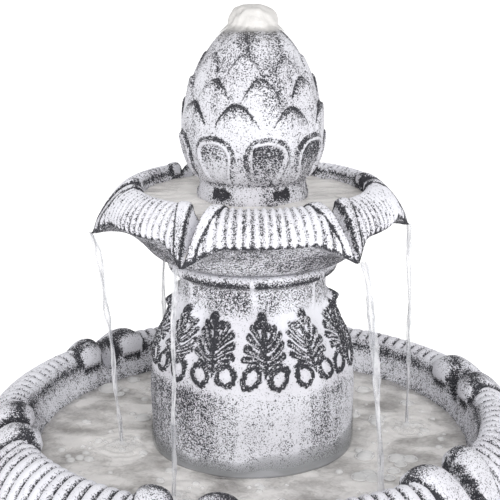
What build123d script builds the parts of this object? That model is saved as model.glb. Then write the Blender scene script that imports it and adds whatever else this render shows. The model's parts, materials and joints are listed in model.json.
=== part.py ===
"""A two-tier garden fountain of cast resin: plinth, pedestal, basin, column, upper bowl and
pineapple finial, with the submersible pump and the riser tube that it needs inside.

Millimetres, +Z up. The origin is on the ground under the centre. Angles run from the front (-Y)
towards +X. The tiers are stacked from the ground up, so each level is worked out from the one below.
"""

from build123d import *

import os
from math import cos, radians, sin

os.makedirs("parts", exist_ok=True)

# ---------------------------------------------------------------- driving dimensions
casting_wall = 9.0
seat_clearance = 0.5  # radial play where one casting drops into another
part_gap = 0.15  # gap between pieces that are pushed or screwed together
running_gap = 0.3  # gap round anything that turns or slides
shaft_play = 0.05  # radial play of the rotor on its shaft

# Rubber pads and plinth
pad_count = 4
pad_radius = 16.0
pad_height = 6.0
pad_recess = 3.0
plinth_radius = 172.0
plinth_height = 52.0
plinth_top_radius = 158.0
cord_arch_radius = 14.0

# Pedestal
pedestal_height = 367.5
pedestal_foot_radius = 146.0
pedestal_neck_radius = 112.0
pedestal_neck_height = 18.0
pedestal_collar_radius = 132.0
pedestal_collar_height = 24.0
pedestal_bell_height = 120.0

# Basin, the lower bowl
basin_gasket_height = 3.0
basin_lip_radius = 233.0
basin_roll_width = 56.0
basin_roll_drop = 64.0
basin_depth = 102.0
basin_floor_radius = 164.0
basin_foot_inset = 10.0  # the basin's foot stands this far inside the pedestal's collar
basin_foot_height = 10.0
basin_spout_reach = 34.0
basin_spout_drop = 93.0  # from the lip down to a spout's tip
basin_spout_angle = -14.0

# Column that stands in the basin
column_height = 261.0
drum_radius = 101.0
drum_foot_radius = 100.0
drum_height = 150.0
column_neck_radius = 73.5
column_neck_height = 30.0
column_collar_radius = 84.5
column_collar_height = 17.0
intake_notch_width = 26.0
intake_notch_height = 22.0
intake_notch_count = 4

# Upper bowl
bowl_floor_wall = 13.5
bowl_seat_gap = 1.5
bowl_lip_radius = 112.0
bowl_roll_width = 30.5
bowl_roll_drop = 30.0
bowl_depth = 57.0
bowl_floor_radius = 84.0
bowl_foot_inset = 11.5  # the bowl's foot drops this far inside the column's neck
bowl_foot_height = 12.0
bowl_spout_reach = 19.0
bowl_spout_drop = 54.0
bowl_spout_angle = -23.5
spout_count = 6

# Finial
finial_height = 215.0
finial_radius = 70.5
finial_foot_radius = 50.0
finial_ring_radius = 53.0
finial_ring_height = 46.0
finial_waist_height = 64.0
finial_crown_radius = 22.0
finial_crown_wall = 14.0

# Riser tube and its nozzle
riser_radius = 8.0
riser_bore_radius = 6.0
nozzle_radius = 9.0
nozzle_length = 22.0
nozzle_bore_radius = 3.5
nozzle_gap = 0.6  # the finial and the standpipe lift off over the nozzle

# Standpipe through the upper bowl's floor
standpipe_radius = 13.0
standpipe_height = 54.0
standpipe_flange_radius = 22.0
standpipe_flange_height = 4.0
standpipe_gasket_height = 2.5
standpipe_nut_radius = 20.0
standpipe_nut_height = 8.0

# Pump, which lies along Y with its outlet on the centre line
pump_width = 46.0
pump_height = 46.0
pump_length = 52.0
pump_wall = 3.0
pump_corner = 6.0
back_plate_thickness = 3.0
suction_foot_height = 7.0
suction_foot_radius = 7.0
volute_depth = 20.0
chamber_depth = 12.0
chamber_gap = 2.0  # between the impeller and the wall of its chamber
rotor_radius = 8.5
rotor_length = 26.0
rotor_well_wall = 1.5
impeller_radius = 14.0
impeller_hub_radius = 4.0
impeller_blade_count = 6
shaft_radius = 1.5
bush_radius = 3.0
bush_length = 4.0
spigot_radius = 5.85
spigot_length = 16.0
cover_depth = 26.0
cover_slot_count = 7
dial_radius = 13.0
dial_thickness = 3.0
gland_radius = 5.0
gland_length = 12.0

# Bolts that hold the basin to the pedestal, and the pedestal to the plinth
bolt_radius = 4.0
bolt_inset = 15.0  # from the inside of the column's foot
bolt_count = 3
bolt_start = 30.0
screw_radius = 3.0
screw_inset = 15.0  # from the inside of the pedestal's wall
screw_count = 4

# Fittings in the basin's floor
drain_radius = 9.0
drain_offset = 17.0  # outside the pedestal's collar, so the plug drains clear of it
drain_angle = 150.0
cord_radius = 3.5
cord_hole_radius = 8.0
cord_hole_inset = 17.0  # from the inside of the column's foot

# ---------------------------------------------------------------- levels, from the ground up
plinth_base = pad_height - pad_recess
plinth_top = plinth_base + plinth_height
pedestal_top = plinth_top + pedestal_height
basin_base = pedestal_top + basin_gasket_height
basin_floor = basin_base + basin_foot_height + casting_wall
basin_lip = basin_floor + basin_depth
column_top = basin_floor + column_height
bowl_floor = column_top + bowl_seat_gap + bowl_floor_wall
bowl_lip = bowl_floor + bowl_depth
finial_base = bowl_floor
finial_top = finial_base + finial_height
pump_base = basin_floor + suction_foot_height
pump_axis = pump_base + pump_height / 2
pump_top = pump_base + pump_height

# ---------------------------------------------------------------- small tools


def spaced(count, start=0.0):
    """Equal turns about the axis, in degrees."""
    return [start + 360.0 * k / count for k in range(count)]


def around(radius, angle):
    """The point at a radius and an angle from the front, seen from above."""
    return radius * sin(radians(angle)), -radius * cos(radians(angle))


def ring_of(count, radius, start=0.0):
    """The points of a circular pattern."""
    return [around(radius, angle) for angle in spaced(count, start)]


def save(builder, label):
    """Labels a finished piece and writes it to its own file."""
    builder.part.label = label
    export_step(builder.part, f"parts/{label}.step")


def facing_out(radius, angle=0.0):
    """An upright plane at a radius: x runs along the rim, y runs up and the normal points outward."""
    x, y = around(radius, angle)
    along = (cos(radians(angle)), sin(radians(angle)), 0)
    outward = (sin(radians(angle)), -cos(radians(angle)), 0)
    return Plane(origin=(x, y, 0), x_dir=along, z_dir=outward)


def facing_front(y):
    """An upright plane across the pump, seen from the front: x to the right, y up."""
    return Plane(origin=(0, y, 0), x_dir=(1, 0, 0), z_dir=(0, -1, 0))


# Places that follow from the pieces they belong to.
basin_foot_radius = pedestal_collar_radius - basin_foot_inset
bowl_foot_radius = column_neck_radius - bowl_foot_inset
bolt_circle = drum_foot_radius - casting_wall - bolt_inset
screw_circle = pedestal_foot_radius - casting_wall - screw_inset
drain_circle = pedestal_collar_radius + drain_offset
cord_hole_y = drum_foot_radius - casting_wall - cord_hole_inset
chamber_radius = impeller_radius + chamber_gap
pads = ring_of(pad_count, plinth_radius - pad_radius - casting_wall, 45)
screws = ring_of(screw_count, screw_circle)
bolts = ring_of(bolt_count, bolt_circle, bolt_start)
drain_point = around(drain_circle, drain_angle)
cord_point = (0, cord_hole_y)

# ---------------------------------------------------------------- plinth
plinth_cove_height = 10.0
plinth_cove_ledge = 3.0

with BuildPart() as base_plinth:
    with BuildSketch(Plane.XZ):
        with BuildLine():
            plinth_side = Polyline(
                (0, plinth_base),
                (plinth_radius, plinth_base),
                (plinth_radius, plinth_base + 0.45 * plinth_height),
            )
            plinth_cove = Spline(
                plinth_side @ 1,
                (plinth_top_radius + plinth_cove_ledge, plinth_top - plinth_cove_height),
                tangents=((0, 1), (-0.3, 1)),
            )
            Polyline(
                plinth_cove @ 1,
                (plinth_top_radius, plinth_top),
                (0, plinth_top),
                (0, plinth_base),
            )
        make_face()
    revolve(axis=Axis.Z)
    # Hollow underneath, with a boss left standing over each pad.
    with BuildSketch(Plane.XY.offset(plinth_base)):
        Circle(plinth_radius - 2 * casting_wall)
        with Locations(pads):
            Circle(pad_radius + casting_wall, mode=Mode.SUBTRACT)
    extrude(amount=plinth_height - casting_wall, mode=Mode.SUBTRACT)
    with BuildSketch(Plane.XY.offset(plinth_base)):
        with Locations(pads):
            Circle(pad_radius + part_gap)
    extrude(amount=pad_recess, mode=Mode.SUBTRACT)
    # Screw holes, and the hole that the cord comes down through.
    with BuildSketch(Plane.XY.offset(plinth_base)):
        with Locations(screws):
            Circle(screw_radius + part_gap)
        Circle(2 * cord_hole_radius)
    extrude(amount=plinth_height, mode=Mode.SUBTRACT)
    # Arch at the back where the cord leaves.
    with BuildSketch(Plane.XZ.offset(-plinth_radius)):
        with Locations((0, plinth_base)):
            Circle(cord_arch_radius)
    extrude(amount=3 * casting_wall, mode=Mode.SUBTRACT)
save(base_plinth, "base_plinth")

with BuildPart() as plinth_pads:
    with BuildSketch():
        with Locations(pads):
            Circle(pad_radius)
    extrude(amount=pad_height)
    chamfer(plinth_pads.faces().group_by(Axis.Z)[0].edges(), 1.2)
save(plinth_pads, "plinth_pads")

# ---------------------------------------------------------------- pedestal
collar_round = 8.0
pedestal_shoulder = pedestal_top - pedestal_collar_height - pedestal_bell_height
pedestal_neck_base = pedestal_top - pedestal_collar_height - pedestal_neck_height
boss_radius = 11.0
boss_height = 30.0
boss_web_thickness = 8.0
screw_tip_gap = 4.0

with BuildPart() as pedestal:
    with BuildSketch(Plane.XZ):
        with BuildLine():
            pedestal_foot = Polyline(
                (0, plinth_top),
                (pedestal_foot_radius, plinth_top),
                (pedestal_foot_radius, pedestal_shoulder),
            )
            pedestal_bell = Spline(
                pedestal_foot @ 1,
                (pedestal_neck_radius, pedestal_neck_base),
                tangents=((0, 1), (0, 1)),
            )
            pedestal_neck = Polyline(
                pedestal_bell @ 1,
                (pedestal_neck_radius, pedestal_top - pedestal_collar_height),
                (pedestal_collar_radius - collar_round, pedestal_top - pedestal_collar_height),
            )
            pedestal_torus = ThreePointArc(
                pedestal_neck @ 1,
                (pedestal_collar_radius, pedestal_top - pedestal_collar_height / 2),
                (pedestal_collar_radius - collar_round, pedestal_top),
            )
            Polyline(pedestal_torus @ 1, (0, pedestal_top), (0, plinth_top))
        make_face()
    revolve(axis=Axis.Z)
    # Inside, the wall follows the outside up to the neck.
    with BuildSketch(Plane.XZ):
        with BuildLine():
            core_foot = Polyline(
                (0, plinth_top),
                (pedestal_foot_radius - casting_wall, plinth_top),
                (pedestal_foot_radius - casting_wall, pedestal_shoulder),
            )
            core_bell = Spline(
                core_foot @ 1,
                (pedestal_neck_radius - casting_wall, pedestal_neck_base),
                tangents=((0, 1), (0, 1)),
            )
            Polyline(
                core_bell @ 1,
                (pedestal_neck_radius - casting_wall, pedestal_top - casting_wall),
                (0, pedestal_top - casting_wall),
                (0, plinth_top),
            )
        make_face()
    revolve(axis=Axis.Z, mode=Mode.SUBTRACT)
    # Screw bosses, each tied to the wall by a web.
    web_length = pedestal_foot_radius - casting_wall / 2 - screw_circle
    with BuildSketch(Plane.XY.offset(plinth_top)):
        with Locations(screws):
            Circle(boss_radius)
        with PolarLocations(screw_circle + web_length / 2, screw_count):
            Rectangle(web_length, boss_web_thickness)
    extrude(amount=boss_height)
    with BuildSketch(Plane.XY.offset(plinth_top)):
        with Locations(screws):
            Circle(screw_radius + part_gap)
    extrude(amount=boss_height - screw_tip_gap, mode=Mode.SUBTRACT)
    # Holes in the top for the basin's bolts and for the cord.
    with BuildSketch(Plane.XY.offset(pedestal_top - casting_wall)):
        with Locations(bolts):
            Circle(bolt_radius + part_gap)
        with Locations(cord_point):
            Circle(cord_hole_radius)
    extrude(amount=casting_wall, mode=Mode.SUBTRACT)
save(pedestal, "pedestal")

screw_head_radius = 6.0
screw_head_height = 4.0
screw_slot_width = 1.6
screw_seat = plinth_top - casting_wall

with BuildPart() as plinth_screws:
    with BuildSketch(Plane.XY.offset(screw_seat)):
        with Locations(screws):
            Circle(screw_radius)
    extrude(amount=casting_wall + boss_height - 2 * screw_tip_gap)
    with BuildSketch(Plane.XY.offset(screw_seat - screw_head_height)):
        with Locations(screws):
            Circle(screw_head_radius)
    extrude(amount=screw_head_height)
    with BuildSketch(Plane.XY.offset(screw_seat - screw_head_height)):
        with Locations(screws):
            Rectangle(2 * screw_head_radius, screw_slot_width)
    extrude(amount=screw_head_height / 2, mode=Mode.SUBTRACT)
save(plinth_screws, "plinth_screws")

# ---------------------------------------------------------------- bowls


def dish(lip_radius, lip, roll_width, roll_drop, floor, floor_radius, wall, foot_radius, foot_height):
    """A shallow bowl whose rim rolls over and down, hollow under the roll, on a foot ring."""
    rim_radius = lip_radius + roll_width
    roll_end = lip - roll_drop
    underside = floor - wall
    with BuildPart() as bowl:
        with BuildSketch(Plane.XZ):
            with BuildLine():
                flat_floor = Line((0, floor), (floor_radius, floor))
                inner_wall = Spline(
                    flat_floor @ 1,
                    (0.28 * floor_radius + 0.72 * lip_radius, 0.48 * floor + 0.52 * lip),
                    (lip_radius, lip),
                    tangents=((1, 0.35), (0.12, 1)),
                )
                roll = Spline(
                    inner_wall @ 1,
                    (lip_radius + 0.30 * roll_width, lip + 0.13 * roll_width),
                    (rim_radius, lip - 0.66 * roll_drop),
                    (rim_radius - 0.16 * roll_width, roll_end),
                    tangents=((0.12, 1), (-0.6, -1)),
                )
                soffit = Line(roll @ 1, (rim_radius - 0.42 * roll_width, roll_end - 0.18 * roll_drop))
                ogee = Spline(
                    soffit @ 1,
                    (floor_radius + wall, underside + 0.35 * wall),
                    (foot_radius + wall, underside),
                    tangents=((-0.8, -0.8), (-1, -0.05)),
                )
                Polyline(
                    ogee @ 1,
                    (foot_radius, underside),
                    (foot_radius, underside - foot_height),
                    (foot_radius - wall, underside - foot_height),
                    (foot_radius - wall, underside),
                    (0, underside),
                    flat_floor @ 0,
                )
            make_face()
        revolve(axis=Axis.Z)
    return bowl.part


def spout_lip(lip_radius, lip, roll_width, roll_drop, reach, drop):
    """The beak that carries the water clear of the rim, on the front of the bowl."""
    half = 0.50 * roll_width
    with BuildPart() as beak:
        with BuildSketch(facing_out(lip_radius + 0.35 * roll_width)):
            Polygon(
                (-half, lip - roll_drop),
                (half, lip - roll_drop),
                (0.75 * half, lip),
                (-0.75 * half, lip),
                align=None,
            )
        with BuildSketch(facing_out(lip_radius + roll_width + reach)):
            Polygon(
                (-0.16 * half, lip - drop),
                (0.16 * half, lip - drop),
                (0.26 * half, lip - drop + 0.40 * roll_drop),
                (-0.26 * half, lip - drop + 0.40 * roll_drop),
                align=None,
            )
        loft(ruled=True)
    return beak.part


def spout_channel(lip_radius, lip, roll_width, roll_drop, reach, drop):
    """The open channel that the water runs along, from inside the lip to past the beak's tip."""
    half = 0.34 * roll_width
    with BuildPart() as channel:
        with BuildSketch(facing_out(lip_radius - 0.35 * roll_width)):
            Polygon(
                (-0.5 * half, lip - 0.30 * roll_drop),
                (0.5 * half, lip - 0.30 * roll_drop),
                (1.3 * half, lip + roll_width),
                (-1.3 * half, lip + roll_width),
                align=None,
            )
        with BuildSketch(facing_out(lip_radius + roll_width + 1.2 * reach)):
            Polygon(
                (-0.08 * half, lip - drop + 0.12 * roll_drop),
                (0.08 * half, lip - drop + 0.12 * roll_drop),
                (0.22 * half, lip + 0.5 * roll_width),
                (-0.22 * half, lip + 0.5 * roll_width),
                align=None,
            )
        loft(ruled=True)
    return channel.part


basin_rim = (basin_lip_radius, basin_lip, basin_roll_width, basin_roll_drop)
basin_dish = dish(
    *basin_rim,
    basin_floor,
    basin_floor_radius,
    casting_wall,
    basin_foot_radius,
    basin_foot_height,
)
basin_beak = spout_lip(*basin_rim, basin_spout_reach, basin_spout_drop)
basin_channel = spout_channel(*basin_rim, basin_spout_reach, basin_spout_drop)

with BuildPart() as lower_bowl:
    add(basin_dish)
    for spout_turn in spaced(spout_count, basin_spout_angle):
        add(basin_beak, rotation=(0, 0, spout_turn))
    for spout_turn in spaced(spout_count, basin_spout_angle):
        add(basin_channel, rotation=(0, 0, spout_turn), mode=Mode.SUBTRACT)
    with BuildSketch(Plane.XY.offset(basin_base)):
        with Locations(bolts):
            Circle(bolt_radius + part_gap)
        with Locations(cord_point):
            Circle(cord_hole_radius)
        with Locations(drain_point):
            Circle(drain_radius)
    extrude(amount=basin_floor - basin_base, mode=Mode.SUBTRACT)
save(lower_bowl, "lower_bowl")

gasket_margin = 1.0

with BuildPart() as basin_gasket:
    with BuildSketch(Plane.XY.offset(pedestal_top)):
        Circle(basin_foot_radius - gasket_margin)
        Circle(basin_foot_radius - casting_wall + gasket_margin, mode=Mode.SUBTRACT)
    extrude(amount=basin_gasket_height)
save(basin_gasket, "basin_gasket")

# ---------------------------------------------------------------- basin bolts
washer_radius = 9.0
washer_height = 1.5
wing_nut_radius = 7.0
wing_nut_height = 7.0
wing_span = 30.0
wing_thickness = 2.5
bolt_head_radius = 7.0
bolt_head_height = 4.0
bolt_end = 6.0  # thread that shows below each nut
plate_bottom = pedestal_top - casting_wall
nut_seat = plate_bottom - washer_height
bolt_bottom = nut_seat - wing_nut_height - bolt_end

with BuildPart() as bowl_bolts:
    with BuildSketch(Plane.XY.offset(bolt_bottom)):
        with Locations(bolts):
            Circle(bolt_radius)
    extrude(amount=basin_floor + washer_height - bolt_bottom)
    with BuildSketch(Plane.XY.offset(basin_floor + washer_height)):
        with Locations(bolts):
            RegularPolygon(bolt_head_radius, 6)
    extrude(amount=bolt_head_height)
save(bowl_bolts, "bowl_bolts")

with BuildPart() as bowl_bolt_washers:
    for washer_level in (basin_floor, nut_seat):
        with BuildSketch(Plane.XY.offset(washer_level)):
            with Locations(bolts):
                Circle(washer_radius)
                Circle(bolt_radius + part_gap, mode=Mode.SUBTRACT)
        extrude(amount=washer_height)
save(bowl_bolt_washers, "bowl_bolt_washers")

with BuildPart() as bowl_wing_nuts:
    with BuildSketch(Plane.XY.offset(nut_seat - wing_nut_height)):
        with Locations(bolts):
            Circle(wing_nut_radius)
            Rectangle(wing_span, wing_thickness)
        with Locations(bolts):
            Circle(bolt_radius + part_gap, mode=Mode.SUBTRACT)
    extrude(amount=wing_nut_height)
save(bowl_wing_nuts, "bowl_wing_nuts")

# ---------------------------------------------------------------- floor fittings
plug_flange = 4.0
plug_flange_height = 3.0
plug_grip_radius = 4.0
plug_grip_height = 12.0

with BuildPart() as drain_plug:
    with BuildSketch(Plane.XY.offset(basin_floor - casting_wall)):
        with Locations(drain_point):
            Circle(drain_radius - running_gap)
    extrude(amount=casting_wall)
    with BuildSketch(Plane.XY.offset(basin_floor)):
        with Locations(drain_point):
            Circle(drain_radius + plug_flange)
    extrude(amount=plug_flange_height)
    with BuildSketch(Plane.XY.offset(basin_floor + plug_flange_height)):
        with Locations(drain_point):
            Circle(plug_grip_radius)
    extrude(amount=plug_grip_height)
    fillet(drain_plug.edges().group_by(Axis.Z)[-1], 1.5)
save(drain_plug, "drain_plug")

grommet_flange = 3.0
grommet_flange_height = 3.0

with BuildPart() as cord_grommet:
    with BuildSketch(Plane.XY.offset(basin_floor - casting_wall)):
        with Locations(cord_point):
            Circle(cord_hole_radius - part_gap)
    extrude(amount=casting_wall)
    with BuildSketch(Plane.XY.offset(basin_floor)):
        with Locations(cord_point):
            Circle(cord_hole_radius + grommet_flange)
    extrude(amount=grommet_flange_height)
    with BuildSketch(Plane.XY.offset(basin_floor - casting_wall)):
        with Locations(cord_point):
            Circle(cord_radius)
    extrude(amount=casting_wall + grommet_flange_height, mode=Mode.SUBTRACT)
save(cord_grommet, "cord_grommet")

# ---------------------------------------------------------------- column
column_collar_base = column_top - column_collar_height
neck_base = column_collar_base - column_neck_height
seat_level = column_top + bowl_seat_gap - bowl_foot_height
seat_width = 7.0
collar_inset = 6.0

with BuildPart() as column:
    with BuildSketch(Plane.XZ):
        with BuildLine():
            drum = Spline(
                (drum_foot_radius, basin_floor),
                (drum_radius, basin_floor + 0.7 * drum_height),
                (drum_radius - 2, basin_floor + drum_height),
                tangents=((0.05, 1), (-0.12, 1)),
            )
            bell = Spline(
                drum @ 1,
                (column_neck_radius, neck_base),
                tangents=((-0.12, 1), (-0.1, 1)),
            )
            neck = Polyline(
                bell @ 1,
                (column_neck_radius, column_collar_base),
                (column_collar_radius - collar_inset, column_collar_base),
            )
            collar = ThreePointArc(
                neck @ 1,
                (column_collar_radius, column_top - column_collar_height / 2),
                (column_collar_radius - collar_inset, column_top),
            )
            inner_top = Polyline(
                collar @ 1,
                (bowl_foot_radius + seat_clearance, column_top),
                (bowl_foot_radius + seat_clearance, seat_level),
                (bowl_foot_radius - seat_width, seat_level),
                (column_neck_radius - casting_wall, seat_level - 2 * casting_wall),
                (column_neck_radius - casting_wall, neck_base),
            )
            inner_bell = Spline(
                inner_top @ 1,
                (drum_radius - 2 - casting_wall, basin_floor + drum_height),
                tangents=((0.1, -1), (0.12, -1)),
            )
            inner_drum = Spline(
                inner_bell @ 1,
                (drum_foot_radius - casting_wall, basin_floor),
                tangents=((0.12, -1), (-0.05, -1)),
            )
            Line(inner_drum @ 1, drum @ 0)
        make_face()
    revolve(axis=Axis.Z)
    # Arched notches let the basin's water through to the pump.
    notch_springing = basin_floor + intake_notch_height - intake_notch_width / 2
    for notch_angle in spaced(intake_notch_count):
        with BuildSketch(facing_out(drum_foot_radius + casting_wall, notch_angle)):
            with Locations((0, basin_floor)):
                Rectangle(
                    intake_notch_width,
                    notch_springing - basin_floor,
                    align=(Align.CENTER, Align.MIN),
                )
            with Locations((0, notch_springing)):
                Circle(intake_notch_width / 2)
        extrude(amount=-3 * casting_wall, mode=Mode.SUBTRACT)
save(column, "column")

# ---------------------------------------------------------------- upper bowl
bowl_rim = (bowl_lip_radius, bowl_lip, bowl_roll_width, bowl_roll_drop)
bowl_dish = dish(
    *bowl_rim,
    bowl_floor,
    bowl_floor_radius,
    bowl_floor_wall,
    bowl_foot_radius,
    bowl_foot_height,
)
bowl_beak = spout_lip(*bowl_rim, bowl_spout_reach, bowl_spout_drop)
bowl_channel = spout_channel(*bowl_rim, bowl_spout_reach, bowl_spout_drop)

with BuildPart() as upper_bowl:
    add(bowl_dish)
    for spout_turn in spaced(spout_count, bowl_spout_angle):
        add(bowl_beak, rotation=(0, 0, spout_turn))
    for spout_turn in spaced(spout_count, bowl_spout_angle):
        add(bowl_channel, rotation=(0, 0, spout_turn), mode=Mode.SUBTRACT)
    with BuildSketch(Plane.XY.offset(bowl_floor - bowl_floor_wall)):
        Circle(standpipe_radius + part_gap)
    extrude(amount=bowl_floor_wall, mode=Mode.SUBTRACT)
save(upper_bowl, "upper_bowl")

standpipe_bore_radius = nozzle_radius + nozzle_gap
standpipe_bottom = bowl_floor - bowl_floor_wall - standpipe_nut_height - 2
flange_level = bowl_floor + standpipe_gasket_height

with BuildPart() as standpipe:
    with BuildSketch(Plane.XY.offset(standpipe_bottom)):
        Circle(standpipe_radius)
    extrude(amount=bowl_floor + standpipe_height - standpipe_bottom)
    with BuildSketch(Plane.XY.offset(flange_level)):
        Circle(standpipe_flange_radius)
    extrude(amount=standpipe_flange_height)
    with BuildSketch(Plane.XY.offset(standpipe_bottom)):
        Circle(standpipe_bore_radius)
    extrude(amount=bowl_floor + standpipe_height - standpipe_bottom, mode=Mode.SUBTRACT)
save(standpipe, "standpipe")

with BuildPart() as standpipe_gasket:
    with BuildSketch(Plane.XY.offset(bowl_floor)):
        Circle(standpipe_flange_radius)
        Circle(standpipe_radius + part_gap, mode=Mode.SUBTRACT)
    extrude(amount=standpipe_gasket_height)
save(standpipe_gasket, "standpipe_gasket")

with BuildPart() as standpipe_nut:
    with BuildSketch(Plane.XY.offset(bowl_floor - bowl_floor_wall - standpipe_nut_height)):
        RegularPolygon(standpipe_nut_radius, 6)
        Circle(standpipe_radius + part_gap, mode=Mode.SUBTRACT)
    extrude(amount=standpipe_nut_height)
save(standpipe_nut, "standpipe_nut")

# ---------------------------------------------------------------- finial
egg_height = finial_height - finial_waist_height
finial_waist = finial_base + finial_waist_height

with BuildPart() as finial:
    with BuildSketch(Plane.XZ):
        with BuildLine():
            finial_foot = Polyline(
                (finial_foot_radius - casting_wall, finial_base),
                (finial_foot_radius, finial_base),
                (finial_foot_radius, finial_base + finial_ring_height),
                (finial_ring_radius, finial_base + finial_ring_height),
                (finial_ring_radius, finial_waist),
            )
            egg = Spline(
                finial_foot @ 1,
                (finial_radius, finial_waist + 0.30 * egg_height),
                (0.82 * finial_radius, finial_waist + 0.66 * egg_height),
                (finial_crown_radius, finial_top),
                tangents=((1, 1), (-0.75, 1)),
            )
            crown = Polyline(
                egg @ 1,
                (nozzle_radius + nozzle_gap, finial_top),
                (nozzle_radius + nozzle_gap, finial_top - finial_crown_wall),
            )
            inner_egg = Spline(
                crown @ 1,
                (0.82 * finial_radius - casting_wall, finial_waist + 0.60 * egg_height),
                (finial_radius - casting_wall, finial_waist + 0.30 * egg_height),
                (finial_foot_radius - casting_wall, finial_waist),
                tangents=((1, -0.5), (-0.6, -1)),
            )
            Line(inner_egg @ 1, finial_foot @ 0)
        make_face()
    revolve(axis=Axis.Z)
save(finial, "finial")

# ---------------------------------------------------------------- pump, standing under the column
volute_back = chamber_depth / 2
volute_front = volute_back - volute_depth
housing_back = volute_back + pump_length
well_radius = rotor_radius + running_gap
rotor_front = volute_back + 2
rotor_back = rotor_front + rotor_length
well_back = rotor_back + bush_length + 1
pump_screw_inset = 5.0
pump_screw_radius = 1.5
pump_screw_depth = 10.0
pump_screw_head_radius = 2.8
pump_screw_head_height = 2.0
pump_screws_at = [
    (x * (pump_width / 2 - pump_screw_inset), pump_axis + z * (pump_height / 2 - pump_screw_inset))
    for x in (-1, 1)
    for z in (-1, 1)
]
corner_post = 2 * pump_screw_inset
axle_point = (0, pump_axis)

with BuildPart() as pump_housing:
    with BuildSketch(facing_front(volute_back)):
        with Locations(axle_point):
            RectangleRounded(pump_width, pump_height, pump_corner)
    extrude(amount=-pump_length)
    # Coil space, open at the back, round the dry side of the rotor well.
    with BuildSketch(facing_front(housing_back)):
        with Locations(axle_point):
            Rectangle(pump_width - 2 * pump_wall, pump_height - 2 * pump_wall)
        with Locations(pump_screws_at):
            Rectangle(corner_post, corner_post, mode=Mode.SUBTRACT)
    extrude(amount=pump_length - pump_wall, mode=Mode.SUBTRACT)
    with BuildSketch(facing_front(volute_back)):
        with Locations(axle_point):
            Circle(well_radius + rotor_well_wall)
    extrude(amount=-(well_back + rotor_well_wall - volute_back))
    with BuildSketch(facing_front(volute_back)):
        with Locations(axle_point):
            Circle(well_radius)
    extrude(amount=-(well_back - volute_back), mode=Mode.SUBTRACT)
    with BuildSketch(facing_front(volute_back)):
        with Locations(pump_screws_at):
            Circle(pump_screw_radius + part_gap)
    extrude(amount=-pump_screw_depth, mode=Mode.SUBTRACT)
save(pump_housing, "pump_housing")

with BuildPart() as pump_back_plate:
    with BuildSketch(facing_front(housing_back)):
        with Locations(axle_point):
            RectangleRounded(pump_width, pump_height, pump_corner)
            Circle(gland_radius, mode=Mode.SUBTRACT)
    extrude(amount=-back_plate_thickness)
save(pump_back_plate, "pump_back_plate")

with BuildPart() as cable_gland:
    with BuildSketch(facing_front(housing_back)):
        with Locations(axle_point):
            Circle(gland_radius - part_gap)
    extrude(amount=-back_plate_thickness)
    with BuildSketch(facing_front(housing_back + back_plate_thickness)):
        with Locations(axle_point):
            RegularPolygon(gland_radius + 2, 6)
    extrude(amount=-gland_length)
    with BuildSketch(facing_front(housing_back)):
        with Locations(axle_point):
            Circle(cord_radius)
    extrude(amount=-(back_plate_thickness + gland_length), mode=Mode.SUBTRACT)
save(cable_gland, "cable_gland")

# The iron core stands round the rotor well, with half of the coil above it and half below.
core_front = volute_back + pump_wall + 4
core_length = 26.0
core_half_height = 12.5
core_yoke = 4.0
coil_thickness = 4.0

with BuildPart() as stator_core:
    with BuildSketch(facing_front(core_front)):
        with Locations(axle_point):
            Rectangle(2 * (core_half_height + core_yoke), 2 * core_half_height)
            Circle(well_radius + rotor_well_wall + part_gap, mode=Mode.SUBTRACT)
    extrude(amount=-core_length)
save(stator_core, "stator_core")

with BuildPart() as stator_coil:
    with BuildSketch(facing_front(core_front)):
        for side in (-1, 1):
            with Locations((0, pump_axis + side * (core_half_height + coil_thickness / 2 + part_gap))):
                Rectangle(2 * core_half_height, coil_thickness)
    extrude(amount=-core_length)
    fillet(stator_coil.edges().filter_by(Axis.Y), 1.0)
save(stator_coil, "stator_coil")

with BuildPart() as rotor_magnet:
    with BuildSketch(facing_front(rotor_front)):
        with Locations(axle_point):
            Circle(rotor_radius)
            Circle(shaft_radius + shaft_play, mode=Mode.SUBTRACT)
    extrude(amount=-rotor_length)
save(rotor_magnet, "rotor_magnet")

blade_thickness = 1.6
blade_length = 7.0
blade_back = volute_back - 1.5
hub_front = blade_back - blade_length
front_bush_back = volute_back - chamber_depth + 1

with BuildPart() as impeller:
    with BuildSketch(facing_front(blade_back)):
        with Locations(axle_point):
            for blade in range(impeller_blade_count // 2):
                blade_turn = 360 * blade / impeller_blade_count
                Rectangle(2 * impeller_radius, blade_thickness, rotation=blade_turn)
    extrude(amount=blade_length)
    with BuildSketch(facing_front(rotor_front)):
        with Locations(axle_point):
            Circle(impeller_hub_radius)
    extrude(amount=rotor_front - hub_front)
    with BuildSketch(facing_front(rotor_front)):
        with Locations(axle_point):
            Circle(shaft_radius + shaft_play)
    extrude(amount=rotor_front - hub_front, mode=Mode.SUBTRACT)
save(impeller, "impeller")

with BuildPart() as pump_shaft:
    with BuildSketch(facing_front(front_bush_back - bush_length)):
        with Locations(axle_point):
            Circle(shaft_radius)
    extrude(amount=-(well_back - front_bush_back + bush_length))
save(pump_shaft, "pump_shaft")

with BuildPart() as shaft_bushes:
    for bush_front in (front_bush_back - bush_length, well_back - bush_length):
        with BuildSketch(facing_front(bush_front)):
            with Locations(axle_point):
                Circle(bush_radius)
                Circle(shaft_radius, mode=Mode.SUBTRACT)
        extrude(amount=-bush_length)
save(shaft_bushes, "shaft_bushes")

inlet_radius = 2.4
inlet_circle = 8.0
inlet_count = 6
outlet_top = pump_top + spigot_length
outlet_bore_radius = 4.0

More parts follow.
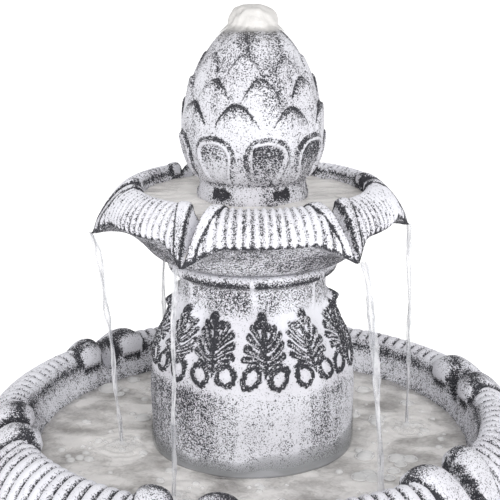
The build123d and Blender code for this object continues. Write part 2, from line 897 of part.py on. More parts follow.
with BuildPart() as volute_cover:
    with BuildSketch(facing_front(volute_front)):
        with Locations(axle_point):
            RectangleRounded(pump_width, pump_height, pump_corner)
    extrude(amount=-volute_depth)
    with BuildSketch(facing_front(volute_back)):
        with Locations(axle_point):
            Circle(chamber_radius)
    extrude(amount=chamber_depth, mode=Mode.SUBTRACT)
    with BuildSketch(facing_front(volute_front)):
        with Locations(axle_point):
            with PolarLocations(inlet_circle, inlet_count):
                Circle(inlet_radius)
    extrude(amount=-volute_depth / 2, mode=Mode.SUBTRACT)
    with BuildSketch(facing_front(front_bush_back)):
        with Locations(axle_point):
            Circle(bush_radius)
    extrude(amount=bush_length + 1, mode=Mode.SUBTRACT)
    with BuildSketch(facing_front(volute_front)):
        with Locations(pump_screws_at):
            Circle(pump_screw_radius + part_gap)
    extrude(amount=-volute_depth, mode=Mode.SUBTRACT)
    with BuildSketch(facing_front(volute_front)):
        with Locations(pump_screws_at):
            Circle(pump_screw_head_radius + part_gap)
    extrude(amount=-pump_screw_head_height, mode=Mode.SUBTRACT)
    # Outlet spigot, which the riser tube pushes over.
    with BuildSketch(Plane.XY.offset(pump_top)):
        Circle(spigot_radius)
    extrude(amount=spigot_length)
    with BuildSketch(Plane.XY.offset(pump_axis)):
        Circle(outlet_bore_radius)
    extrude(amount=outlet_top - pump_axis, mode=Mode.SUBTRACT)
save(volute_cover, "volute_cover")

with BuildPart() as pump_screws:
    with BuildSketch(facing_front(volute_front)):
        with Locations(pump_screws_at):
            Circle(pump_screw_radius)
    extrude(amount=-(volute_depth + pump_screw_depth - 1))
    with BuildSketch(facing_front(volute_front)):
        with Locations(pump_screws_at):
            Circle(pump_screw_head_radius)
    extrude(amount=-pump_screw_head_height)
save(pump_screws, "pump_screws")

with BuildPart() as suction_feet:
    with BuildSketch(Plane.XY.offset(basin_floor)):
        for foot_y in (volute_back + suction_foot_radius + 2, housing_back - suction_foot_radius - 2):
            with Locations((-pump_width / 2 + 8, foot_y), (pump_width / 2 - 8, foot_y)):
                Circle(suction_foot_radius)
    extrude(amount=suction_foot_height, taper=12)
save(suction_feet, "suction_feet")

# ---------------------------------------------------------------- intake cover, foam and flow dial
cover_back = volute_front - running_gap
cover_front = cover_back - cover_depth
slot_width = 2.6
slot_height = 26.0
slot_pitch = 5.2

with BuildPart() as intake_cover:
    with BuildSketch(facing_front(cover_front)):
        with Locations(axle_point):
            RectangleRounded(pump_width, pump_height, pump_corner)
    extrude(amount=-cover_depth)
    with BuildSketch(facing_front(cover_back)):
        with Locations(axle_point):
            Rectangle(pump_width - 2 * pump_wall, pump_height - 2 * pump_wall)
    extrude(amount=cover_depth - pump_wall, mode=Mode.SUBTRACT)
    with BuildSketch(facing_front(cover_front)):
        with Locations(axle_point):
            with GridLocations(slot_pitch, 1, cover_slot_count, 1):
                SlotOverall(slot_height, slot_width, rotation=90)
    extrude(amount=-pump_wall, mode=Mode.SUBTRACT)
save(intake_cover, "intake_cover")

foam_margin = 0.5

with BuildPart() as filter_foam:
    with BuildSketch(facing_front(cover_front + pump_wall)):
        with Locations(axle_point):
            Rectangle(
                pump_width - 2 * pump_wall - 2 * foam_margin,
                pump_height - 2 * pump_wall - 2 * foam_margin,
            )
    extrude(amount=-(cover_depth - pump_wall - foam_margin))
save(filter_foam, "filter_foam")

dial_back = cover_front - running_gap
dial_pointer = 3.0

with BuildPart() as flow_dial:
    with BuildSketch(facing_front(dial_back)):
        with Locations(axle_point):
            Circle(dial_radius)
    extrude(amount=dial_thickness)
    with BuildSketch(facing_front(dial_back - dial_thickness)):
        with Locations(axle_point):
            Rectangle(dial_pointer, 1.6 * dial_radius)
    extrude(amount=dial_thickness)
save(flow_dial, "flow_dial")

# ---------------------------------------------------------------- riser, clamp and nozzle
riser_bottom = pump_top + 1
nozzle_shoulder = 6.0
riser_top = finial_top - nozzle_shoulder
clamp_thickness = 1.6
clamp_height = 8.0
clamp_screw_length = 9.0
clamp_level = riser_bottom + 3

with BuildPart() as riser_tube:
    with BuildSketch(Plane.XY.offset(riser_bottom)):
        Circle(riser_radius)
        Circle(riser_bore_radius, mode=Mode.SUBTRACT)
    extrude(amount=riser_top - riser_bottom)
save(riser_tube, "riser_tube")

with BuildPart() as riser_clamp:
    with BuildSketch(Plane.XY.offset(clamp_level)):
        Circle(riser_radius + part_gap + clamp_thickness)
        with Locations((riser_radius + clamp_screw_length / 2, 0)):
            Rectangle(clamp_screw_length, 2 * clamp_thickness)
        Circle(riser_radius + part_gap, mode=Mode.SUBTRACT)
    extrude(amount=clamp_height)
save(riser_clamp, "riser_clamp")

with BuildPart() as nozzle:
    with BuildSketch(Plane.XY.offset(riser_top)):
        Circle(nozzle_radius)
    extrude(amount=nozzle_shoulder)
    with BuildSketch(Plane.XY.offset(riser_top + nozzle_shoulder - nozzle_length)):
        Circle(riser_bore_radius - part_gap)
    extrude(amount=nozzle_length - nozzle_shoulder)
    with BuildSketch(Plane.XY.offset(riser_top + nozzle_shoulder - nozzle_length)):
        Circle(nozzle_bore_radius)
    extrude(amount=nozzle_length, mode=Mode.SUBTRACT)
save(nozzle, "nozzle")
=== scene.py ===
# %% [markdown]
# A two-tier garden fountain of cast resin, with water running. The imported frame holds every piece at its
# true place, so each new piece takes its levels from the frame and only the modelled detail is decided here.
# The castings are made again with their relief, because that is what the eye sees. The pump, the bolts and
# the other small fittings keep their own shapes and get a finish.

import json
from math import cos, pi, radians, sin, tau

import bpy
import numpy as np
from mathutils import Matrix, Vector


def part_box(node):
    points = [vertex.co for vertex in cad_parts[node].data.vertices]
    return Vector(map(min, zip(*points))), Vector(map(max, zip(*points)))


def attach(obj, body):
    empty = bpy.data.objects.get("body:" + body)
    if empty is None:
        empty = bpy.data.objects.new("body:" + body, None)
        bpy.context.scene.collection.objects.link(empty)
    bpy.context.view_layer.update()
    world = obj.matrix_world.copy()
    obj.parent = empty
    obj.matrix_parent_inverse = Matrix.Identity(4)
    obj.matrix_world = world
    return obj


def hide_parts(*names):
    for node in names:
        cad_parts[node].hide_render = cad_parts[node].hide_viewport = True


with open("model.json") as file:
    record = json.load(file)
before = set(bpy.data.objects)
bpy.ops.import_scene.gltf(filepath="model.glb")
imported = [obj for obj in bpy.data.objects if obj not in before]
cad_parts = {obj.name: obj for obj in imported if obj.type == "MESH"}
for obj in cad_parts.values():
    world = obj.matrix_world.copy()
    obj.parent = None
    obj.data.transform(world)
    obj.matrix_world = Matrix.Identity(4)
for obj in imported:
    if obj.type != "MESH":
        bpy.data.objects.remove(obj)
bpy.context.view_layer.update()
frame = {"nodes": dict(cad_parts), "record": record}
MM = 0.001

basin_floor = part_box("suction_feet")[0].z
finial_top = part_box("finial")[1].z
bowl_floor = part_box("standpipe_gasket")[0].z
column_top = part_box("column")[1].z
plinth_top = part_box("pedestal")[0].z
pedestal_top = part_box("pedestal")[1].z
levels = (plinth_top, pedestal_top, basin_floor, column_top, bowl_floor, finial_top)
print("levels", [round(z, 4) for z in levels])

# %% [markdown]
# The camera stands a little over a metre in front and looks down by about fifteen degrees, with a long lens,
# so that the tiers keep their proportions. The white room is a white world and a pale floor, and two large
# soft lamps give the relief its shading.

# %% Camera, floor and light
camera_pitch = radians(15.2)
camera_distance = 1.2
look_at = (-2.5 * MM, 0.0, basin_floor + 265.5 * MM)

camera_data = bpy.data.cameras.new("camera")
camera_data.lens = 86.4
camera_data.sensor_width = 36.0
camera = bpy.data.objects.new("camera", camera_data)
camera.location = (
    look_at[0],
    look_at[1] - camera_distance * cos(camera_pitch),
    look_at[2] + camera_distance * sin(camera_pitch),
)
camera.rotation_euler = (pi / 2 - camera_pitch, 0, 0)
bpy.context.scene.collection.objects.link(camera)
bpy.context.scene.camera = camera


def deselect_all():
    """Nothing selected, so the next operator acts only on what it makes."""
    if bpy.context.object and bpy.context.object.mode != "OBJECT":
        bpy.ops.object.mode_set(mode="OBJECT")
    bpy.ops.object.select_all(action="DESELECT")


def soft_lamp(name, place, aim, size, watts):
    """A square area lamp at a place, turned towards a point."""
    data = bpy.data.lights.new(name, "AREA")
    data.size = size
    data.energy = watts
    lamp = bpy.data.objects.new(name, data)
    lamp.location = place
    direction = np.array(aim) - np.array(place)
    lamp.rotation_euler = Vector(direction).to_track_quat("-Z", "Y").to_euler()
    bpy.context.scene.collection.objects.link(lamp)


middle = (0, 0, basin_floor + 0.2)
soft_lamp("key_lamp", (0.6, -1.9, 1.45), middle, 1.0, 24)
soft_lamp("fill_lamp", (-1.8, -0.9, 1.5), middle, 1.5, 8)

world = bpy.data.worlds.new("white_room")
world.use_nodes = True
world.node_tree.nodes["Background"].inputs["Color"].default_value = (1, 1, 1, 1)
world.node_tree.nodes["Background"].inputs["Strength"].default_value = 0.66
bpy.context.scene.world = world
bpy.context.scene.view_settings.view_transform = "Standard"

deselect_all()
bpy.ops.mesh.primitive_plane_add(size=200, location=(0, 0, -0.0005))
floor = bpy.context.object
floor.name = "floor"

# %% [markdown]
# Shader maths reads best as plain expressions. This small class holds one socket of a node tree, and its
# operators add the Math nodes, so that a mask can be written as 1 - speckle * dark.


# %% Shader helper
class Shade:
    """One value or colour in a material, which can be added, multiplied and compared."""

    def __init__(self, tree, socket):
        self.tree = tree
        self.socket = socket

    def node(self, kind, settings=None, **inputs):
        """Adds a node, with its settings first, and returns it."""
        made = self.tree.nodes.new(kind)
        for key, value in (settings or {}).items():
            setattr(made, key, value)
        for key, value in inputs.items():
            index = int(key[1:]) if key[0] == "i" and key[1:].isdigit() else key.replace("_", " ")
            if isinstance(value, Shade):
                self.tree.links.new(value.socket, made.inputs[index])
            else:
                made.inputs[index].default_value = value
        return made

    def out(self, node, name=0):
        return Shade(self.tree, node.outputs[name])

    def maths(self, operation, *values):
        inputs = {f"i{k}": value for k, value in enumerate(values)}
        return self.out(self.node("ShaderNodeMath", {"operation": operation}, **inputs))

    def __add__(self, other):
        return self.maths("ADD", self, other)

    __radd__ = __add__

    def __sub__(self, other):
        return self.maths("SUBTRACT", self, other)

    def __rsub__(self, other):
        return self.maths("SUBTRACT", other, self)

    def __mul__(self, other):
        return self.maths("MULTIPLY", self, other)

    def between(self, low, high):
        """0 below low, 1 above high, and an even rise from one to the other."""
        made = self.node("ShaderNodeMapRange", {"clamp": True}, Value=self, From_Min=low, From_Max=high)
        return self.out(made)

    def mix(self, below, above):
        """The colour below where this mask is 0 and the colour above where it is 1."""
        made = self.node("ShaderNodeMix", {"data_type": "RGBA"}, i0=self, i6=below, i7=above)
        return self.out(made, 2)


def new_material(name):
    """An empty material with a Principled shader: returns the material, the shader and a starting Shade."""
    material = bpy.data.materials.new(name)
    material.use_nodes = True
    tree = material.node_tree
    shader = tree.nodes["Principled BSDF"]
    place = Shade(tree, tree.nodes.new("ShaderNodeTexCoord").outputs["Object"])
    return material, shader, place


def feed(shader, name, value):
    """Links a Shade to the shader's socket, or sets a plain value on it."""
    if isinstance(value, Shade):
        value.tree.links.new(value.socket, shader.inputs[name])
    else:
        shader.inputs[name].default_value = value


def vertex_value(place, name):
    """A value that the piece carries at every vertex."""
    return place.out(place.node("ShaderNodeAttribute", {"attribute_name": name}), "Fac")


def noise(place, scale, detail=2.0, roughness=0.5, distortion=0.0):
    grain = {"Detail": detail, "Roughness": roughness, "Distortion": distortion}
    return place.out(place.node("ShaderNodeTexNoise", Vector=place, Scale=scale, **grain))


def stretched(place, x, y, z):
    """The same coordinates, stretched by a scale along each axis."""
    made = place.node("ShaderNodeMapping", Vector=place, Scale=(x, y, z))
    return place.out(made)


def bump(height, strength, distance):
    made = height.node("ShaderNodeBump", Strength=strength, Distance=distance, Height=height)
    return height.out(made)


# %% [markdown]
# The castings are charcoal resin with a white wash that is brushed on dry. The white stays on what stands
# proud, and the charcoal shows as a fine peppering, thick in the hollows. Each casting carries a value called
# dark at every vertex, 0 on open surfaces and 1 in the carved lines; it also holds painted shade under the
# bowls and on the left of the column's drum. The finish turns it into more grains.


# %% The whitewash finish
def whitewash(name, even_dark=0.0, painted_shade_tone=1.0):
    material, shader, place = new_material(name)
    dark = vertex_value(place, "dark") + even_dark
    patches = noise(place, 16, 2, 0.5)
    streaks = noise(stretched(place, 90, 90, 10), 1.0, 3, 0.6)
    pepper = noise(place, 760, 3, 0.6, 0.4)
    fine = noise(place, 1500, 2, 0.6)
    crumbs = noise(place, 260, 4, 0.65)
    # The level that the noise has to pass to leave a grain: the darker the casting, the lower it is.
    level = 0.597 - dark * 0.228 - (patches - 0.5) * 0.16 - (streaks - 0.5) * 0.12
    grains = (pepper * 0.62 + fine * 0.18 + crumbs * 0.20 - level).between(-0.01, 0.045)
    # The two whites are scaled by the tone factor; below 1 it is painted shade.
    wash = patches.between(0.35, 0.7).mix(
        (0.80 * painted_shade_tone, 0.80 * painted_shade_tone, 0.85 * painted_shade_tone, 1), (0.70 * painted_shade_tone, 0.69 * painted_shade_tone, 0.74 * painted_shade_tone, 1)
    )
    charcoal = fine.between(0.3, 0.7).mix((0.012, 0.012, 0.016, 1), (0.060, 0.060, 0.070, 1))
    feed(shader, "Base Color", grains.mix(wash, charcoal))
    feed(shader, "Roughness", 0.66 + grains * 0.10)
    feed(shader, "Specular IOR Level", 0.3)
    relief = 1 - grains * 0.8 + crumbs * 0.6
    feed(shader, "Normal", bump(relief, 0.45, 0.0010))
    return material


casting_finish = whitewash("whitewash")

# %% [markdown]
# Every casting is round, so it starts as a flat grid: its columns are the turn about the axis and its rows
# follow the section. The grid is rolled up by moving its vertices, the seam is merged and the normals are
# made to point outward. That way the carved relief is real geometry, worked out for each vertex by a formula.


# %% Rolling up a casting
def rolled(name, turns, rows, place, mask_name):
    """Rolls a flat grid up: place(theta, row) gives the point and the mask value of every vertex."""
    deselect_all()
    bpy.ops.mesh.primitive_grid_add(x_subdivisions=turns, y_subdivisions=rows - 1, size=2)
    piece = bpy.context.object
    piece.name = name
    mesh = piece.data
    flat = np.empty(len(mesh.vertices) * 3)
    mesh.vertices.foreach_get("co", flat)
    flat = flat.reshape(-1, 3)
    theta = (flat[:, 0] + 1) / 2 * tau
    row = np.rint((flat[:, 1] + 1) / 2 * (rows - 1)).astype(int)
    points, mask_value = place(theta, row)
    mesh.vertices.foreach_set("co", points.ravel())
    mask = mesh.attributes.new(mask_name, "FLOAT", "POINT")
    mask.data.foreach_set("value", np.clip(mask_value, 0, 1).astype(np.float32))
    bpy.ops.object.mode_set(mode="EDIT")
    bpy.ops.mesh.select_all(action="SELECT")
    bpy.ops.mesh.remove_doubles(threshold=1e-6)
    bpy.ops.mesh.normals_make_consistent(inside=False)
    bpy.ops.object.mode_set(mode="OBJECT")
    bpy.ops.object.shade_smooth()
    print(name, len(mesh.vertices), "vertices", len(mesh.polygons), "faces")
    return piece


def round_axis(theta, radius, height):
    """Points at a turn from the front, a radius and a height."""
    return np.stack([radius * np.sin(theta), -radius * np.cos(theta), height], axis=1)


def rolled_casting(name, turns, rows, shape):
    """A casting round the axis: shape(theta, row) gives the radius, the height and the darkness."""

    def place(theta, row):
        radius, height, dark = shape(theta, row)
        return round_axis(theta, radius, height), dark

    return rolled(name, turns, rows, place, "dark")


def finish_piece(piece, material, body, slot, *nodes):
    """Gives a piece its material and its body, and hides the nodes that it stands for. slot is not used."""
    piece.data.materials.clear()
    piece.data.materials.append(material)
    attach(piece, body)
    if nodes:
        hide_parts(*nodes)


def straight_line(points, count):
    """count points, evenly spaced, along straight runs."""
    knots = np.array(points, float)
    along = np.concatenate([[0], np.cumsum(np.linalg.norm(np.diff(knots, axis=0), axis=1))])
    even = np.linspace(0, along[-1], count)
    return np.stack([np.interp(even, along, knots[:, 0]), np.interp(even, along, knots[:, 1])], axis=1)


def smooth_line(points, count):
    """count points along a smooth curve through a few chosen points."""
    knots = np.array(points, float)
    ends = np.vstack([2 * knots[0] - knots[1], knots, 2 * knots[-1] - knots[-2]])
    curve = []
    for k in range(len(knots) - 1):
        a, b, c, d = ends[k : k + 4]
        t = np.linspace(0, 1, 60)[:, None]
        curve.append(
            0.5 * (2 * b + (c - a) * t + (2 * a - 5 * b + 4 * c - d) * t**2 + (3 * b - a - 3 * c + d) * t**3)
        )
    return straight_line(np.vstack(curve), count)


def stacked(lines):
    """One line from several, each starting where the one before it ends."""
    return np.vstack([line if k == 0 else line[1:] for k, line in enumerate(lines)])


def heights(base, points):
    """Points given as a radius and a height above a level, in millimetres."""
    return [(radius * MM, base + height * MM) for radius, height in points]


def section_rows(base, shown, hidden, hidden_rows):
    """The rows of a section, smooth where it shows and straight where it does not, and how many show."""
    front = stacked([smooth_line(heights(base, points), rows) for points, rows in shown])
    back = straight_line(heights(base, hidden), hidden_rows)
    return stacked([front, back]), len(front)


def rise(low, high, value):
    """A smooth step from 0 at low to 1 at high."""
    t = np.clip((value - low) / (high - low), 0, 1)
    return t * t * (3 - 2 * t)


def ridge(distance, width):
    """A soft line, 1 in its middle and gone past its width."""
    return np.exp(-((distance / width) ** 2))


def wander(theta, height, seed):
    """A slow unevenness, as of a hand-made mould, between -1 and 1."""
    chance = np.random.default_rng(seed)
    total = np.zeros_like(theta)
    for _ in range(5):
        turns = int(chance.integers(2, 9))
        phase, lean = chance.uniform(0, tau), chance.uniform(-60, 60)
        total += np.sin(turns * theta + lean * height + phase) / 5
    return total


# %% [markdown]
# Both bowls have one design. The rim rolls over and down, and it is carved into ribs like a shell. Six times
# round, the roll is drawn out into a pointed leaf, and a channel cut along the leaf lets the water out. The
# row number of the grid says where on the section a vertex is, and the turn says how far it is from a spout.


# %% The bowls
spout_count = 6
spout_pitch = tau / spout_count


def from_spout(theta, first_angle):
    """The turn from the nearest spout to each point."""
    return (theta - radians(first_angle) + spout_pitch / 2) % spout_pitch - spout_pitch / 2


def bowl_shape(
    lip_r, lip_z, roll_width, roll_drop, floor_z, floor_r, wall, foot_r, foot_height, bore_r, spout
):
    """The rows of a bowl's section, the function that carves it, and both ends of its channels."""
    underside = floor_z - wall
    inner_rows, roll_rows, under_rows = spout["rows"]
    floor_rows, foot_rows = 8, 16
    floor_line = straight_line([(bore_r, floor_z), (floor_r, floor_z)], floor_rows)
    wall_middle = (0.28 * floor_r + 0.72 * lip_r, 0.48 * floor_z + 0.52 * lip_z)
    wall_line = smooth_line([(floor_r, floor_z), wall_middle, (lip_r, lip_z)], inner_rows)
    roll_outline = [(0, 0), (0.10, 0.05), (0.28, 0.08), (0.58, -0.06), (0.83, -0.34)]
    roll_outline += [(0.965, -0.62), (0.995, -0.82), (0.93, -1.0)]
    roll_points = [(lip_r + a * roll_width, lip_z + b * roll_drop) for a, b in roll_outline]
    roll_line = smooth_line(roll_points, roll_rows)
    end_r, end_z = roll_line[-1]
    tuck_r = end_r - 0.34 * roll_width
    under_middle = (0.5 * (floor_r + wall + tuck_r), 0.5 * (underside + end_z) + 0.02 * roll_drop)
    under_points = [(end_r, end_z), (tuck_r, end_z - 0.14 * roll_drop), under_middle]
    under_points += [(floor_r + wall, underside + 0.35 * wall), (foot_r + wall, underside)]
    under_line = smooth_line(under_points, under_rows)
    foot_z = underside - foot_height
    foot_points = [(foot_r + wall, underside), (foot_r, underside), (foot_r, foot_z)]
    foot_points += [(foot_r - wall, foot_z), (foot_r - wall, underside)]
    foot_points += [(bore_r, underside), (bore_r, floor_z)]
    foot_line = straight_line(foot_points, foot_rows)
    section = stacked([floor_line, wall_line, roll_line, under_line, foot_line])
    # A row is at -2 on the floor, -1 to 0 up the wall, to 1 over the roll, to 2 underneath, 3 at the foot.
    place = [np.full(floor_rows, -2.0), np.linspace(-1, 0, inner_rows)[1:], np.linspace(0, 1, roll_rows)[1:]]
    place += [np.linspace(1, 2, under_rows)[1:], np.full(foot_rows - 1, 3.0)]
    place = np.concatenate(place)
    along = np.gradient(section, axis=0)
    length = np.maximum(np.linalg.norm(along, axis=1), 1e-9)
    facing = np.stack([-along[:, 1] / length, along[:, 0] / length], axis=1)
    mouth_z = lip_z - spout["mouth_drop"]
    wall_at = np.interp(mouth_z, wall_line[:, 1], np.linspace(-1, 0, inner_rows))
    mouth_r = np.interp(mouth_z, wall_line[:, 1], wall_line[:, 0])
    tip_r = end_r + spout["reach"]
    tip_z = end_z - spout["dip"] + 2 * MM
    channel = (mouth_r, mouth_z, tip_r, tip_z)

    def shape(theta, row):
        (r, z), v = section[row].T, place[row]
        out_r, out_z = facing[row, 0], facing[row, 1]
        turn = from_spout(theta, spout["angle"])
        across = np.abs(turn) * np.maximum(r, lip_r * 0.8)
        down = np.clip(v, 0, 1)
        # The roll is drawn out to a point at each spout.
        draw = np.clip(1 - across / spout["leaf_half"], 0, 1) ** 1.35
        reach = np.where(v <= 1, down**2.4, np.clip(1 - (v - 1) / 0.45, 0, 1) ** 1.4)
        # A smooth leaf each side of the channel, with a knuckle where it folds over the lip.
        half_channel = spout["channel_half"] * (1 - 0.82 * down**0.9)
        band = spout["band"] * (1 - 0.55 * down)
        band_out = half_channel + band
        leaf = rise(0, 2.5 * MM, across - half_channel) * (1 - rise(-1.5 * MM, 1.0 * MM, across - band_out))
        off_middle = (across - half_channel - band / 2) / (band / 2)
        off_end = np.minimum(v - 0.01, 0) / spout["fold"]
        bead = np.hypot(off_middle, off_end)
        knuckle = spout["knuckle"] * np.exp(-((np.maximum(v, 0) / 0.30) ** 2))
        dome = np.clip(1 - bead**2, 0, 1)
        # Ribs between the leaves.
        on_roll = rise(0.0, 0.07, v) * (1 - rise(0.95, 1.0, v))
        beyond = rise(band_out - 0.5 * MM, band_out + 1.5 * MM, across)
        wobble = 0.35 * np.sin(17 * turn + 3 * np.floor(theta / spout_pitch) + 4 * v)
        wave = 0.5 + 0.5 * np.cos(tau * turn / (spout_pitch / spout["ribs"]) + wobble + pi)
        groove = (1 - wave) ** spout["groove"]
        lift = spout["rib_height"] * on_roll * (beyond * (0.45 - groove))
        lift += leaf * 0.4 * spout["rib_height"] * on_roll + knuckle * dome**0.5
        lift += 0.7 * MM * wander(theta, z, 3) * (v > -0.5) * (v < 1.8)
        edge_r = r + out_r * lift + spout["reach"] * draw * reach
        edge_z = z + out_z * lift - spout["dip"] * draw * reach
        # The channel's floor runs straight from its mouth in the wall to the tip of the leaf.
        run = np.clip((v - wall_at) / (1 - wall_at), 0, 1) ** 1.15
        bed_r = mouth_r + (tip_r - mouth_r) * run
        bed_z = mouth_z + (tip_z - mouth_z) * run
        side = np.clip(across / half_channel, 0, 1) ** 1.6
        side = np.where((v > wall_at) & (v <= 1), side, 1.0)
        new_r = bed_r + (edge_r - bed_r) * side
        new_z = bed_z + (edge_z - bed_z) * side
        # Darkness: the leaf's outlines, the grooves, the inside of the lip, the ragged lower edge, and the
        # underside, partly painted shade.
        ragged = 0.5 + 0.5 * wander(theta * 9, z * 40, 11)
        near = (v > wall_at) & (v < 1.03)
        outline = (0.8 * MM + 0.8 * MM * ragged) / (band / 2)
        inner_end = rise(-0.30, -0.02, v)
        dark = 0.95 * ridge(bead - 1.02, outline) * near
        dark += 0.75 * ridge(bead - 1.05, 2.2 * outline) * (v < 0.05) * near
        dark += spout["groove_dark"] * on_roll * beyond * groove
        dark += (0.20 + 0.25 * wander(theta * 3, z, 12)) * leaf * (v > 0.1) * (v < 1) + 0.05 * on_roll
        dark += (0.50 + 0.40 * ragged) * ridge(v - 0.07, 0.06) * leaf
        dark += (0.25 + 0.35 * ragged) * ridge(v + 0.03, 0.06) * (bead > 1.05)
        dark += 0.46 * (v < 0) * (v > -1) * (bead > 1) * (0.70 + 0.30 * inner_end)
        dark += (0.5 + 0.5 * ragged) * ridge(v - 0.985, 0.045)
        dark += 0.42 * (1 - rise(-1.5 * MM, 0.5 * MM, across - half_channel)) * (v > -0.2) * (v < 1)
        dark += 0.20 * (v <= -0.25) * (v > -2.2)
        # Under the roll, more grains: partly the underside's own finer speckle, partly painted shade; the
        # channel's bed stays lighter.
        dark += 0.51 * ((v > 1.03) & (v < 2.5)) - 0.3 * (across < half_channel - 1 * MM) * near
        return new_r, new_z, dark

    return len(section), shape, channel


upper_lip_z = bowl_floor + 57 * MM
upper_spout = {
    "rows": (18, 54, 26),
    "angle": -23.5,
    "mouth_drop": 12 * MM,
    "reach": 19 * MM,
    "dip": 17 * MM,
    "leaf_half": 31 * MM,
    "channel_half": 10.5 * MM,
    "band": 15 * MM,
    "knuckle": 2.6 * MM,
    "fold": 0.13,
    "ribs": 18,
    "rib_height": 2.0 * MM,
    "groove": 1.2,
    "groove_dark": 0.50,
}
rows, shape, upper_channel = bowl_shape(
    lip_r=112 * MM, lip_z=upper_lip_z, roll_width=30.5 * MM, roll_drop=30 * MM,
    floor_z=bowl_floor, floor_r=84 * MM, wall=13.5 * MM,
    foot_r=62 * MM, foot_height=12 * MM, bore_r=13.2 * MM, spout=upper_spout,
)
upper_bowl = rolled_casting("upper_bowl_casting", 720, rows, shape)
finish_piece(upper_bowl, casting_finish, "bowl_tier", "casting", "upper_bowl")

lower_lip_z = basin_floor + 102 * MM
lower_spout = {
    "rows": (18, 50, 18),
    "angle": -14,
    "mouth_drop": 22 * MM,
    "reach": 36 * MM,
    "dip": 22 * MM,
    "leaf_half": 52 * MM,
    "channel_half": 12.5 * MM,
    "band": 36 * MM,
    "knuckle": 11 * MM,
    "fold": 0.13,
    "ribs": 20,
    "rib_height": 4.4 * MM,
    "groove": 3.2,
    "groove_dark": 0.80,
}
rows, shape, lower_channel = bowl_shape(
    lip_r=233 * MM, lip_z=lower_lip_z, roll_width=56 * MM, roll_drop=64 * MM,
    floor_z=basin_floor, floor_r=164 * MM, wall=9 * MM,
    foot_r=122 * MM, foot_height=10 * MM, bore_r=3 * MM, spout=lower_spout,
)
lower_bowl = rolled_casting("lower_bowl_casting", 900, rows, shape)
finish_piece(lower_bowl, casting_finish, "base", "casting", "lower_bowl")

# %% [markdown]
# A palmette is a fan of fingers on a stem, with a round scroll each side of its foot. It is drawn as strokes:
# the nearest stroke to a point gives its height, so a stroke is a rounded bar and overlaps stay soft. The
# drawing is 74 units high, and half of the leaf is drawn and mirrored.


# %% The palmette
def stroke(x, y, points, start_width, end_width):
    """How far inside a bent, tapering bar each point lies: 1 on its middle line, 0 at its edge."""
    (x0, y0), (x1, y1), (x2, y2) = points
    best = np.full(x.shape, -9.0)
    steps = np.linspace(0, 1, 9)
    cx = (1 - steps) ** 2 * x0 + 2 * steps * (1 - steps) * x1 + steps**2 * x2
    cy = (1 - steps) ** 2 * y0 + 2 * steps * (1 - steps) * y1 + steps**2 * y2
    for k in range(8):
        dx, dy = cx[k + 1] - cx[k], cy[k + 1] - cy[k]
        t = np.clip(((x - cx[k]) * dx + (y - cy[k]) * dy) / (dx * dx + dy * dy), 0, 1)
        width = start_width + (end_width - start_width) * (k + t) / 8
        distance = np.hypot(x - cx[k] - t * dx, y - cy[k] - t * dy)
        best = np.maximum(best, 1 - distance / width)
    return best


fingers = [
    ([(1.5, 44.0), (7.0, 47.0), (14.5, 58.5)], 1.6, 4.2),
    ([(1.5, 38.0), (9.0, 41.0), (20.0, 50.5)], 1.5, 4.1),
    ([(1.5, 32.0), (11.0, 35.0), (23.0, 41.5)], 1.5, 4.0),
    ([(1.5, 27.0), (12.0, 30.5), (22.5, 32.5)], 1.5, 3.4),
    ([(1.0, 19.0), (7.0, 27.0), (16.5, 26.5)], 1.6, 2.4),
]
lobes = [(0.0, 67.0, 7.2), (7.2, 60.5, 5.0)]
scroll_x, scroll_y, scroll_r = 14.6, 14.0, 9.2


def palmette(x, y):
    """Height from 0 to 1 and paint from 0 to 1 of the motif, for points in its own units."""
    wide = np.abs(x)
    inside = stroke(x, y, [(0, 14), (0, 28), (0, 44)], 1.2, 4.4)
    inside = np.maximum(inside, stroke(x, y, [(0, 42), (0, 52), (0, 64)], 4.4, 3.4))
    for points, start_width, end_width in fingers:
        inside = np.maximum(inside, stroke(wide, y, points, start_width, end_width))
    for lobe_x, lobe_y, lobe_r in lobes:
        inside = np.maximum(inside, 1 - np.hypot(wide - lobe_x, y - lobe_y) / lobe_r)
    to_scroll = np.hypot(wide - scroll_x, y - scroll_y)
    inside = np.maximum(inside, 1 - np.abs(to_scroll - scroll_r) / (2.9 + 0.8 * np.sin(0.9 * x + 0.5 * y)))
    height = np.sqrt(np.clip(inside, 0, 1))
    button = np.sqrt(np.clip(1 - (to_scroll / 6.0) ** 2, 0, 1))
    vein = 0.35 * ridge(wide, 0.7) * (y > 14) * (y < 62)
    off_trunk = np.maximum(rise(3, 8, wide), rise(58, 64, y))
    crest = rise(0.55, 0.90, inside) * off_trunk * (to_scroll > scroll_r + 3)
    paint = rise(-0.05, 0.20, inside) * (1 - 0.55 * crest)
    return np.maximum(height - vein, 0.6 * button), paint


palmette_count, first_palmette, palmette_height, palmette_swell = 12, 7, 74, 0.9


